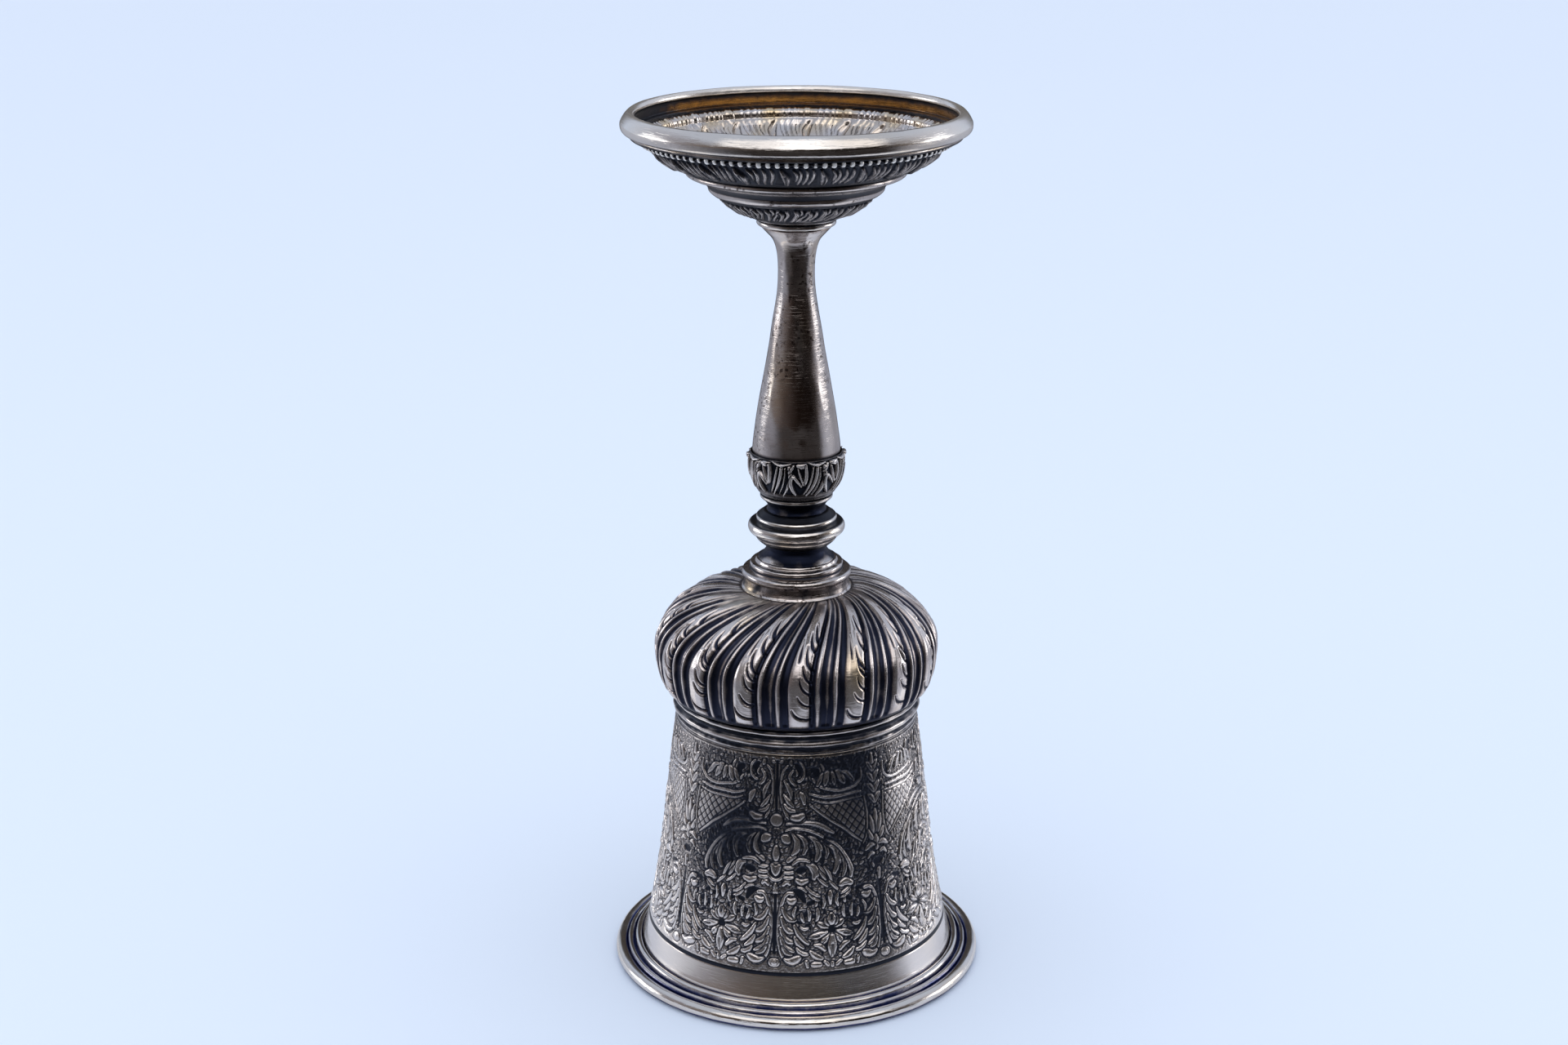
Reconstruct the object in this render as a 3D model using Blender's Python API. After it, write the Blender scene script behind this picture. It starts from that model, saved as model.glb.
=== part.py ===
"""Chased silver ceremonial goblet, standing upside down on its lip ring.

The axis is +Z and the origin is the middle of the lip ring's resting face, so
the cup's mouth is at z = 0 and the hollow of the foot opens upwards at the top.
From the bottom up: a moulded lip ring round the flared cup wall, a reeded
junction band, a bulb with swirling lobes, a stepped collar, a neck, a
double-beaded knop, a second neck, a fluted calyx, a hollow baluster stem, a
collet and the three stampings of the foot with its beaded wire and rim.
A rod soldered to the closed bottom of the bowl runs up the middle and is drawn
tight by a nut and a washer inside the foot.
"""

import math

import bmesh
import bpy

MM = 0.001

# ---------------------------------------------------------------- dimensions
# All in millimetres. Radii are from the axis, heights from the lip's face.
HEIGHT = 160.0  # lip face to foot rim
GAP = 0.25  # clearance between pieces that are soldered or clamped together
STEPS_LARGE = 40  # facets round the wide pieces
STEPS_SMALL = 24  # facets round the stem's pieces

# Cup
LIP_RING_RADIUS = 34.4
LIP_RING_HEIGHT = 3.6
LIP_EDGE_RADIUS = 29.25  # outside of the cup wall inside the lip ring
CUP_WALL = 0.9
CUP_TOP_Z = 48.6
CUP_TOP_RADIUS = 22.35
CUP_TAPER = 0.118  # radius gained for each millimetre down the wall
CUP_FLARE = 2.5  # extra radius that the bell gains at the lip
CUP_FLARE_FROM_Z = 30.7
CUP_FLARE_POWER = 3.3

# Junction band
BAND_BOTTOM_Z = 48.85
BAND_TOP_Z = 53.3
BAND_RADIUS = 22.85
BAND_BORE = 21.5

# Lobed bulb
BULB_LOBES = 16
BULB_FACETS = 4  # to each lobe
BULB_RADIUS = 25.75
BULB_MID_Z = 61.95
BULB_RISE = 12.15  # middle to crown
BULB_DROP = 8.3  # middle to lower lip
BULB_LIP_RADIUS = 22.6
BULB_CROWN_Z = 73.05
BULB_WALL = 0.9
BULB_LOBE_DEPTH = 0.9
BULB_SWIRL = math.radians(28.5)  # turn of the lobes for each e-fold of radius, above the middle

# Centre fastening
ROD_RADIUS = 2.0
ROD_BORE = 2.3
ROD_TOP_Z = 148.6
FLANGE_RADIUS = 6.0
FLANGE_HEIGHT = 1.0
NUT_CORNER_RADIUS = 4.1
NUT_HEIGHT = 3.2
WASHER_RADIUS = 4.6
WASHER_HEIGHT = 0.7
BOSS_PLATE_RADIUS = 6.4
BOSS_PLATE_HEIGHT = 0.8

# Stem group
COLLAR_BOTTOM_Z = BULB_CROWN_Z + GAP
COLLAR_TOP_Z = 78.55
COLLAR_RADIUS = 10.0
LOWER_NECK_TOP_Z = 81.2
NECK_RADIUS = 5.5
KNOP_TOP_Z = 87.6
KNOP_MID_Z = 84.6
KNOP_RADIUS = 8.8
UPPER_NECK_TOP_Z = 89.85
FILLET_TOP_Z = 90.75
FILLET_RADIUS = 6.6
CALYX_TOP_Z = 98.9
CALYX_RADIUS = 8.65
CALYX_LOBES = 16
CALYX_FACETS = 3
STEM_BOTTOM_Z = 95.6
STEM_TOP_Z = 139.7
STEM_WALL = 1.0
COLLET_TOP_Z = 140.9
COLLET_RADIUS = 7.0

# Foot
FOOT_WALL = 0.75
DOME_TOP_Z = 145.45
STEP_TOP_Z = 149.55
BEAD_COUNT = 109
BEAD_RADIUS = 0.58
BEAD_RING_RADIUS = 26.85
BEAD_RING_Z = 154.9
FLANGE_Z = 155.6  # underside of the flat flange that carries the rim
RIM_RADIUS = 30.3
RIM_BOTTOM_Z = 156.45
RIM_BORE = 28.5

# Finishes: base colour, roughness, metallic
SILVER = ((0.62, 0.60, 0.58), 0.28, 1.0)
DARK_SILVER = ((0.38, 0.37, 0.37), 0.42, 1.0)
WARM_SILVER = ((0.60, 0.55, 0.50), 0.25, 1.0)
BRASS = ((0.66, 0.52, 0.30), 0.35, 1.0)


# ------------------------------------------------------------------- helpers
def clear_scene():
    for obj in list(bpy.data.objects):
        bpy.data.objects.remove(obj, do_unlink=True)


def finish_material(name, finish):
    colour, roughness, metallic = finish
    material = bpy.data.materials.new(name)
    material.use_nodes = True
    shader = material.node_tree.nodes["Principled BSDF"]
    shader.inputs["Base Color"].default_value = (*colour, 1.0)
    shader.inputs["Roughness"].default_value = roughness
    shader.inputs["Metallic"].default_value = metallic
    material.diffuse_color = (*colour, 1.0)
    return material


def to_object(name, bm, finish):
    bmesh.ops.recalc_face_normals(bm, faces=bm.faces)
    mesh = bpy.data.meshes.new(name)
    bm.to_mesh(mesh)
    bm.free()
    mesh.materials.append(finish_material(name, finish))
    mesh.shade_smooth()
    mesh.set_sharp_from_angle(angle=math.radians(35))
    obj = bpy.data.objects.new(name, mesh)
    bpy.context.scene.collection.objects.link(obj)
    return obj


def arc(centre_r, centre_z, radius, start, end, count):
    """Points of a circular arc in the section plane, as (r, z). Angles in
    degrees from the outward direction towards +Z."""
    points = []
    for i in range(count):
        a = math.radians(start + (end - start) * i / (count - 1))
        points.append((centre_r + radius * math.cos(a), centre_z + radius * math.sin(a)))
    return points


def smooth_run(stations, per_span):
    """Catmull-Rom run through (r, z) stations, so that a short list of sizes
    gives a fair curve."""
    points = []
    last = len(stations) - 1
    for i in range(last):
        p0, p1 = stations[max(i - 1, 0)], stations[i]
        p2, p3 = stations[i + 1], stations[min(i + 2, last)]
        for k in range(per_span):
            t = k / per_span
            points.append(
                tuple(
                    0.5
                    * (
                        2 * b
                        + (c - a) * t
                        + (2 * a - 5 * b + 4 * c - d) * t * t
                        + (3 * b - a - 3 * c + d) * t**3
                    )
                    for a, b, c, d in zip(p0, p1, p2, p3)
                )
            )
    points.append(stations[-1])
    return points


def turned(name, section, steps, finish, closed=True):
    """Spins a section of (r, z) points once round the axis. A closed section
    is a ring; an open one starts and ends on the axis and makes a solid."""
    bm = bmesh.new()
    verts = [bm.verts.new((r * MM, 0.0, z * MM)) for r, z in section]
    edges = [bm.edges.new(pair) for pair in zip(verts[:-1], verts[1:])]
    if closed:
        edges.append(bm.edges.new((verts[-1], verts[0])))
    bmesh.ops.spin(
        bm,
        geom=verts + edges,
        cent=(0, 0, 0),
        axis=(0, 0, 1),
        angle=2 * math.pi,
        steps=steps,
        use_merge=True,
        use_duplicate=False,
    )
    bmesh.ops.remove_doubles(bm, verts=bm.verts, dist=1e-7)
    return to_object(name, bm, finish)


def lofted_rings(name, section, steps, shape, finish, closed):
    """Like turned(), but shape(angle, r, z) gives each point's own (angle, r,
    z), which makes lobes and a swirl. An open section starts and ends at a pole
    on the axis."""
    bm = bmesh.new()
    rings = []
    for r, z in section:
        if r < 1e-9:
            rings.append([bm.verts.new((0.0, 0.0, z * MM))])
            continue
        ring = []
        for i in range(steps):
            a, rr, zz = shape(2 * math.pi * i / steps, r, z)
            ring.append(bm.verts.new((rr * MM * math.cos(a), rr * MM * math.sin(a), zz * MM)))
        rings.append(ring)
    pairs = list(zip(rings[:-1], rings[1:]))
    if closed:
        pairs.append((rings[-1], rings[0]))
    for lower, upper in pairs:
        for i in range(steps):
            j = (i + 1) % steps
            if len(lower) == 1:
                bm.faces.new((lower[0], upper[j], upper[i]))
            elif len(upper) == 1:
                bm.faces.new((lower[i], lower[j], upper[0]))
            else:
                bm.faces.new((lower[i], lower[j], upper[j], upper[i]))
    return to_object(name, bm, finish)


def blend(t):
    t = min(max(t, 0.0), 1.0)
    return t * t * (3 - 2 * t)


# ----------------------------------------------------------------------- cup
def cup_radius(z):
    flare = max(0.0, (CUP_FLARE_FROM_Z - z) / CUP_FLARE_FROM_Z)
    return CUP_TOP_RADIUS + CUP_TAPER * (CUP_TOP_Z - z) + CUP_FLARE * flare**CUP_FLARE_POWER


def make_lip_ring():
    bore = LIP_EDGE_RADIUS + GAP
    section = [(bore, 0.0), (bore, LIP_RING_HEIGHT - 0.4)]
    section += arc(bore + 0.6, LIP_RING_HEIGHT - 0.6, 0.6, 120, 15, 3)  # inner reed
    section += [(30.95, 2.65)]
    section += arc(31.6, 2.35, 0.55, 130, 20, 3)  # middle reed
    section += [(32.3, 2.05)]
    section += arc(LIP_RING_RADIUS - 1.25, 1.27, 1.25, 120, -60, 7)  # outer bead
    section += [(33.4, 0.0)]
    return turned("lip_ring", section, STEPS_LARGE, SILVER)


def make_cup_wall():
    heights = [4.6, 7.9, 12.5, 18.5, 27.0, 38.0, CUP_TOP_Z]
    outer = [(LIP_EDGE_RADIUS, 0.0), (LIP_EDGE_RADIUS, 4.0)]
    outer += [(min(cup_radius(z), LIP_EDGE_RADIUS - 0.1), z) for z in heights]
    inner = [(cup_radius(z) - CUP_WALL, z) for z in reversed(heights[1:])]
    inner += [(LIP_EDGE_RADIUS - CUP_WALL, 3.6), (LIP_EDGE_RADIUS - CUP_WALL, 0.0)]
    return turned("cup_wall", outer + inner, STEPS_LARGE, DARK_SILVER)


def make_junction_band():
    section = [(CUP_TOP_RADIUS, BAND_BOTTOM_Z)]
    section += arc(BAND_RADIUS - 0.65, 50.7, 0.65, -70, 70, 4)  # lower reed
    section += [(22.3, 51.75)]
    section += arc(BAND_RADIUS - 0.55, 52.75, 0.55, -60, 60, 3)  # upper reed
    section += [(22.2, BAND_TOP_Z), (BAND_BORE, BAND_TOP_Z), (BAND_BORE, BAND_BOTTOM_Z)]
    return turned("junction_band", section, STEPS_LARGE, SILVER)


def bulb_section(inset):
    """Outline from the lower lip, out round the middle and in to the crown."""
    points = []
    for i in range(3):  # lower quarter
        a = math.pi / 2 * (1 - i / 3)
        points.append(
            (
                BULB_LIP_RADIUS - inset + (BULB_RADIUS - BULB_LIP_RADIUS) * math.cos(a),
                BULB_MID_Z - BULB_DROP * math.sin(a),
            )
        )
    for i in range(6):  # upper quarter, squarer than a circle
        a = math.radians(66) * i / 5
        r = BULB_RADIUS * math.cos(a) ** (2 / 2.55)
        z = BULB_MID_Z + BULB_RISE * math.sin(a) ** (2 / 1.96)
        if z > BULB_CROWN_Z - 0.3:
            break
        points.append((r - inset * math.cos(a), z - inset * math.sin(a)))
    points.append((12.3 - 0.3 * inset, BULB_CROWN_Z - inset))
    return points


def bulb_lobes(angle, r, z):
    turn = BULB_SWIRL * math.log(BULB_RADIUS / max(r, 9.0)) if z > BULB_MID_Z else 0.0
    fade = blend((r - 9.0) / 8.0) * blend((z - BULB_MID_Z + BULB_DROP - 0.4) / 2.0)
    wave = math.cos(BULB_LOBES * angle)
    return angle + turn, r - BULB_LOBE_DEPTH * fade * (0.5 - 0.5 * wave), z


def make_bulb():
    outer = bulb_section(0.0)
    inner = bulb_section(BULB_WALL)
    section = [(0.0, BULB_CROWN_Z - BULB_WALL)] + inner[::-1] + outer + [(0.0, BULB_CROWN_Z)]
    return lofted_rings(
        "gadrooned_bulb", section, BULB_LOBES * BULB_FACETS, bulb_lobes, DARK_SILVER, False
    )


# ---------------------------------------------------------------- stem group
def make_collar():
    z0 = COLLAR_BOTTOM_Z
    section = [(10.1, z0), (9.55, z0 + 0.7), (9.45, z0 + 1.9)]
    section += arc(COLLAR_RADIUS - 0.65, 75.95, 0.65, -55, 55, 4)  # broad ring
    section += [(8.6, 76.85)]
    section += arc(8.05, 77.5, 0.45, -40, 60, 3)  # narrow ring
    section += [(7.55, 78.1), (7.4, COLLAR_TOP_Z)]
    section += [(ROD_BORE, COLLAR_TOP_Z), (ROD_BORE, z0 + 2.2), (FLANGE_RADIUS + 0.5, z0 + 2.2)]
    section += [(FLANGE_RADIUS + 0.5, z0)]
    return turned("collar", section, STEPS_SMALL, WARM_SILVER)


def make_lower_neck():
    z0 = COLLAR_TOP_Z + GAP
    section = smooth_run([(7.1, z0), (6.2, z0 + 0.55), (NECK_RADIUS, z0 + 1.6)], 2)
    section += [(NECK_RADIUS + 0.1, LOWER_NECK_TOP_Z), (ROD_BORE, LOWER_NECK_TOP_Z), (ROD_BORE, z0)]
    return turned("lower_neck", section, STEPS_SMALL, DARK_SILVER)


def make_knop():
    z0 = LOWER_NECK_TOP_Z + GAP
    section = [(6.2, z0), (7.1, z0 + 0.75)]
    section += arc(KNOP_RADIUS - 1.25, KNOP_MID_Z, 1.25, -55, 45, 5)  # main bead
    section += [(7.1, 85.65)]
    section += arc(6.75, 86.25, 0.6, -30, 70, 3)  # upper bead
    section += [(5.9, KNOP_TOP_Z), (ROD_BORE, KNOP_TOP_Z), (ROD_BORE, z0)]
    return turned("knop", section, STEPS_SMALL, SILVER)


def make_upper_neck():
    z0 = KNOP_TOP_Z + GAP
    section = [(5.5, z0), (5.25, z0 + 0.7), (5.7, z0 + 1.5), (6.2, UPPER_NECK_TOP_Z)]
    section += [(ROD_BORE, UPPER_NECK_TOP_Z), (ROD_BORE, z0)]
    return turned("upper_neck", section, STEPS_SMALL, DARK_SILVER)


def make_fillet():
    z0 = UPPER_NECK_TOP_Z + GAP
    mid = (z0 + FILLET_TOP_Z) / 2
    section = [(6.3, z0), (FILLET_RADIUS, mid), (6.3, FILLET_TOP_Z)]
    section += [(ROD_BORE, FILLET_TOP_Z), (ROD_BORE, z0)]
    return turned("calyx_fillet", section, STEPS_SMALL, SILVER)


def make_calyx():
    z0 = FILLET_TOP_Z + GAP
    seat_z = STEM_BOTTOM_Z - GAP
    bore = 7.95 + GAP
    outer = [(6.5, z0)]
    outer += smooth_run([(7.0, z0 + 0.5), (8.0, 93.4), (CALYX_RADIUS, 96.4), (CALYX_RADIUS, 98.3)], 2)
    section = outer + [(CALYX_RADIUS - 0.1, CALYX_TOP_Z), (bore, CALYX_TOP_Z), (bore, seat_z)]
    section += [(ROD_BORE, seat_z), (ROD_BORE, z0)]

    def lobes(angle, r, z):
        if r < bore + 0.05 and not (r > 6.8 and z < seat_z - 0.1):
            return angle, r, z
        turn = math.radians(14) * (z - z0) / (CALYX_TOP_Z - z0)
        wave = 0.5 - 0.5 * math.cos(CALYX_LOBES * angle)
        return angle + turn, r - 0.22 * wave, z

    return lofted_rings("calyx", section, CALYX_LOBES * CALYX_FACETS, lobes, SILVER, True)


def stem_outline():
    """Baluster from its seat in the calyx up to the flare under the foot."""
    stations = [
        (7.7, STEM_BOTTOM_Z),
        (7.95, 99.1),
        (6.96, 106.8),
        (5.61, 114.2),
        (4.43, 121.7),
        (3.47, 127.7),
        (3.26, 132.0),
        (3.5, 135.0),
        (4.2, 137.2),
        (5.4, 138.6),
        (6.4, STEM_TOP_Z),
    ]
    return smooth_run(stations, 1)


def make_stem():
    outer = stem_outline()
    inner = [
        (max(r - STEM_WALL, ROD_BORE), z) for r, z in reversed(outer) if z < STEM_TOP_Z - 0.1
    ]
    section = outer + [(5.3, STEM_TOP_Z)] + inner
    return turned("stem_baluster", section, STEPS_SMALL, WARM_SILVER)


def make_bush(name, radius, z0, z1):
    section = [(radius, z0), (radius, z1), (ROD_BORE, z1), (ROD_BORE, z0)]
    return turned(name, section, STEPS_SMALL, BRASS)


def make_collet():
    z0 = STEM_TOP_Z + GAP
    mid = (z0 + COLLET_TOP_Z) / 2
    section = [(6.4, z0)] + arc(COLLET_RADIUS - 0.5, mid, 0.5, -50, 50, 3) + [(6.4, COLLET_TOP_Z)]
    section += [(ROD_BORE, COLLET_TOP_Z), (ROD_BORE, z0)]
    return turned("collet_ring", section, STEPS_SMALL, SILVER)


# ---------------------------------------------------------------------- foot
def make_foot_dome():
    z0 = COLLET_TOP_Z + GAP
    under = [(7.3, z0), (9.75, 142.15), (12.0, 143.7), (13.6, 144.85), (14.6, DOME_TOP_Z)]
    over = [(14.1, DOME_TOP_Z + 0.35), (11.6, 144.35), (9.4, 142.95), (7.5, z0 + FOOT_WALL)]
    section = under + over + [(ROD_BORE, z0 + FOOT_WALL), (ROD_BORE, z0)]
    return turned("foot_leaf_dome", section, STEPS_SMALL, DARK_SILVER)


def make_foot_step():
    z0 = DOME_TOP_Z + GAP
    under = [(15.0, z0), (15.4, z0 + 0.6)]
    under += smooth_run([(15.6, 146.7), (16.5, 147.8), (18.6, 148.6)], 1)
    under += [(19.2, 148.95), (19.0, STEP_TOP_Z)]
    over = [(18.2, STEP_TOP_Z), (15.9, 148.5), (14.8, 147.3), (14.5, z0 + 0.5)]
    return turned("foot_step", under + over, STEPS_LARGE, DARK_SILVER)


def make_leaf_band():
    z0 = STEP_TOP_Z + GAP
    under = [(19.3, z0), (20.6, 150.2)]
    under += smooth_run([(23.1, 151.55), (24.8, 152.9), (25.9, 154.2)], 1)
    under += [(25.95, FLANGE_Z), (28.9, FLANGE_Z)]
    over = [(28.9, FLANGE_Z + 0.6), (26.2, FLANGE_Z + 0.6), (25.0, 154.9), (23.0, 152.7)]
    over += [(20.5, 151.1), (18.9, z0 + 0.75)]
    return turned("foot_leaf_band", under + over, STEPS_LARGE, DARK_SILVER)


def make_beaded_wire():
    """A wire whose thickness swells once for each bead."""
    sides = 4
    steps = 2 * BEAD_COUNT
    section = arc(BEAD_RING_RADIUS, BEAD_RING_Z, BEAD_RADIUS, 0, 360 * (sides - 1) / sides, sides)

    def beads(angle, r, z):
        thick = 1.0 if round(angle / (2 * math.pi) * steps) % 2 == 0 else 0.6
        return (
            angle,
            BEAD_RING_RADIUS + (r - BEAD_RING_RADIUS) * thick,
            BEAD_RING_Z + (z - BEAD_RING_Z) * thick,
        )

    return lofted_rings("beaded_wire", section, steps, beads, SILVER, True)


def make_rim():
    section = [(RIM_BORE, RIM_BOTTOM_Z), (28.9, RIM_BOTTOM_Z), (29.75, 157.0)]
    section += [(RIM_RADIUS - 0.1, 157.7), (RIM_RADIUS, 158.4), (RIM_RADIUS - 0.15, 159.2)]
    section += [(29.75, HEIGHT - 0.25), (29.5, HEIGHT), (29.0, HEIGHT), (28.65, HEIGHT - 0.4)]
    return turned("foot_rim", section, STEPS_LARGE, SILVER)


# ---------------------------------------------------------- centre fastening
def make_fastening():
    z0 = BULB_CROWN_Z + GAP
    flange_top = z0 + FLANGE_HEIGHT
    turned(
        "rod_flange",
        [(0, z0), (FLANGE_RADIUS, z0), (FLANGE_RADIUS, flange_top), (0, flange_top)],
        STEPS_SMALL,
        BRASS,
        closed=False,
    )
    rod_z = flange_top + GAP
    turned(
        "tie_rod",
        [(0, rod_z), (ROD_RADIUS, rod_z), (ROD_RADIUS, ROD_TOP_Z - 0.4)]
        + [(ROD_RADIUS - 0.4, ROD_TOP_Z), (0, ROD_TOP_Z)],
        16,
        BRASS,
        closed=False,
    )
    plate_z = COLLET_TOP_Z + GAP + FOOT_WALL + GAP
    plate_top = plate_z + BOSS_PLATE_HEIGHT
    make_bush("foot_boss_plate", BOSS_PLATE_RADIUS, plate_z, plate_top)
    washer_z = plate_top + GAP
    washer_top = washer_z + WASHER_HEIGHT
    make_bush("foot_washer", WASHER_RADIUS, washer_z, washer_top)
    nut_z = washer_top + GAP
    bore = ROD_BORE / math.cos(math.pi / 6)  # a six-sided bore that clears the round rod
    nut_top = nut_z + NUT_HEIGHT
    turned(
        "foot_nut",
        [(bore, nut_z), (NUT_CORNER_RADIUS, nut_z), (NUT_CORNER_RADIUS, nut_top), (bore, nut_top)],
        6,
        BRASS,
    )


clear_scene()
make_lip_ring()
make_cup_wall()
make_junction_band()
make_bulb()
make_collar()
make_lower_neck()
make_knop()
make_upper_neck()
make_fillet()
make_calyx()
make_stem()
make_bush("stem_lower_bush", 6.35, 96.4, 98.2)
make_bush("stem_upper_bush", 3.9, 138.45, 139.5)
make_collet()
make_foot_dome()
make_foot_step()
make_leaf_band()
make_beaded_wire()
make_rim()
make_fastening()
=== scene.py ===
"""Visual model of a chased silver ceremonial goblet standing upside down on its lip.

Lengths are written in millimetres and the axis is Z. Angles run from the front
(-Y) towards +X. Each piece is one closed surface of revolution whose points are
moved along the section's normal by a relief worked out in code.
"""

import math

import bpy
import numpy as np
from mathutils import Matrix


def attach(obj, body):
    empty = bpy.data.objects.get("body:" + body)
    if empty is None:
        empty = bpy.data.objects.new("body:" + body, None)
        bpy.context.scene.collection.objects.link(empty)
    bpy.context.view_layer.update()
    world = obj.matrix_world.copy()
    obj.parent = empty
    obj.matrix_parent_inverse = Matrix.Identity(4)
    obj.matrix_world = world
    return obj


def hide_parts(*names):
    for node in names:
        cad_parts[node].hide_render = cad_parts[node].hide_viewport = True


MM = 0.001
TAU = 2 * math.pi

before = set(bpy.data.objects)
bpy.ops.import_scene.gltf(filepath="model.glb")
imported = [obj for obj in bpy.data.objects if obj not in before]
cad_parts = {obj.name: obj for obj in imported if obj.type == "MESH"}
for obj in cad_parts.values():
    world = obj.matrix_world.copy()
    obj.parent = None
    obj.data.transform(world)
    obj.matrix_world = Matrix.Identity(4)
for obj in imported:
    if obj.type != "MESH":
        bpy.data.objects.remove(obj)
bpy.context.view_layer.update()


# ------------------------------------------------------------------ numbers
def smoothstep(a, b, x):
    t = np.clip((np.asarray(x, float) - a) / (b - a), 0.0, 1.0)
    return t * t * (3 - 2 * t)


def bump(x, centre, width):
    return np.exp(-(((np.asarray(x, float) - centre) / width) ** 2))


def wobble(a, z, seed, kmax=20, zmax=0.25, waves=12):
    """Smooth periodic unevenness, roughly between -1 and 1."""
    rng = np.random.default_rng(seed)
    total = 0.0
    for _ in range(waves):
        k = int(rng.integers(1, kmax + 1))
        m = rng.uniform(-zmax, zmax) * TAU
        total = total + np.cos(k * a + m * z + rng.uniform(0, TAU))
    return total / math.sqrt(waves) / 1.3


def catmull(points, per_span=8):
    """Smooth run through points of any dimension."""
    p = np.asarray(points, float)
    if len(p) < 3:
        t = np.linspace(0, 1, per_span + 1)[:, None]
        return p[:1] * (1 - t) + p[-1:] * t if len(p) == 2 else p
    out = []
    last = len(p) - 1
    for i in range(last):
        p0, p1 = p[max(i - 1, 0)], p[i]
        p2, p3 = p[i + 1], p[min(i + 2, last)]
        t = (np.arange(per_span) / per_span)[:, None]
        out.append(
            0.5
            * (
                2 * p1
                + (p2 - p0) * t
                + (2 * p0 - 5 * p1 + 4 * p2 - p3) * t**2
                + (3 * p1 - p0 - 3 * p2 + p3) * t**3
            )
        )
    out.append(p[-1:])
    return np.vstack(out)


def arc(cr, cz, radius, start, end, count=14):
    a = np.radians(np.linspace(start, end, count))
    return list(zip(cr + radius * np.cos(a), cz + radius * np.sin(a)))


def even(points, step, closed=True, soften=1):
    """The same outline with evenly spaced points and slightly eased corners."""
    p = np.asarray(points, float)
    if closed:
        p = np.vstack([p, p[:1]])
    d = np.r_[0, np.cumsum(np.hypot(*np.diff(p, axis=0).T))]
    n = max(int(round(d[-1] / step)), 8)
    s = np.linspace(0, d[-1], n, endpoint=not closed)
    q = np.stack([np.interp(s, d, p[:, 0]), np.interp(s, d, p[:, 1])], 1)
    for _ in range(soften):
        if closed:
            q = 0.25 * np.roll(q, 1, 0) + 0.5 * q + 0.25 * np.roll(q, -1, 0)
        else:
            q[1:-1] = 0.25 * q[:-2] + 0.5 * q[1:-1] + 0.25 * q[2:]
    return q


def cavity(q, span, closed=True):
    """How deep each outline point lies below its surroundings, in mm."""
    n = len(q)
    step = np.hypot(*(q[1] - q[0]))
    half = max(int(round(span / step)), 1)
    k = np.exp(-0.5 * (np.arange(-2 * half, 2 * half + 1) / half) ** 2)
    k /= k.sum()
    pad = 2 * half
    mode = "wrap" if closed else "edge"
    e = np.stack([np.pad(q[:, i], pad, mode=mode) for i in (0, 1)], 1)
    mean = np.stack([np.convolve(e[:, i], k, "valid") for i in (0, 1)], 1)
    return ((mean - q) * normals(q, closed)).sum(1)


def normals(q, closed=True):
    if closed:
        t = np.roll(q, -1, 0) - np.roll(q, 1, 0)
    else:
        t = np.gradient(q, axis=0)
    t /= np.maximum(np.hypot(t[:, 0], t[:, 1]), 1e-9)[:, None]
    return np.stack([t[:, 1], -t[:, 0]], 1)


def area(q):
    r, z = q[:, 0], q[:, 1]
    return 0.5 * np.sum(r * np.roll(z, -1) - np.roll(r, -1) * z)


# ----------------------------------------------------------------- geometry
PIECES = []


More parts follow.
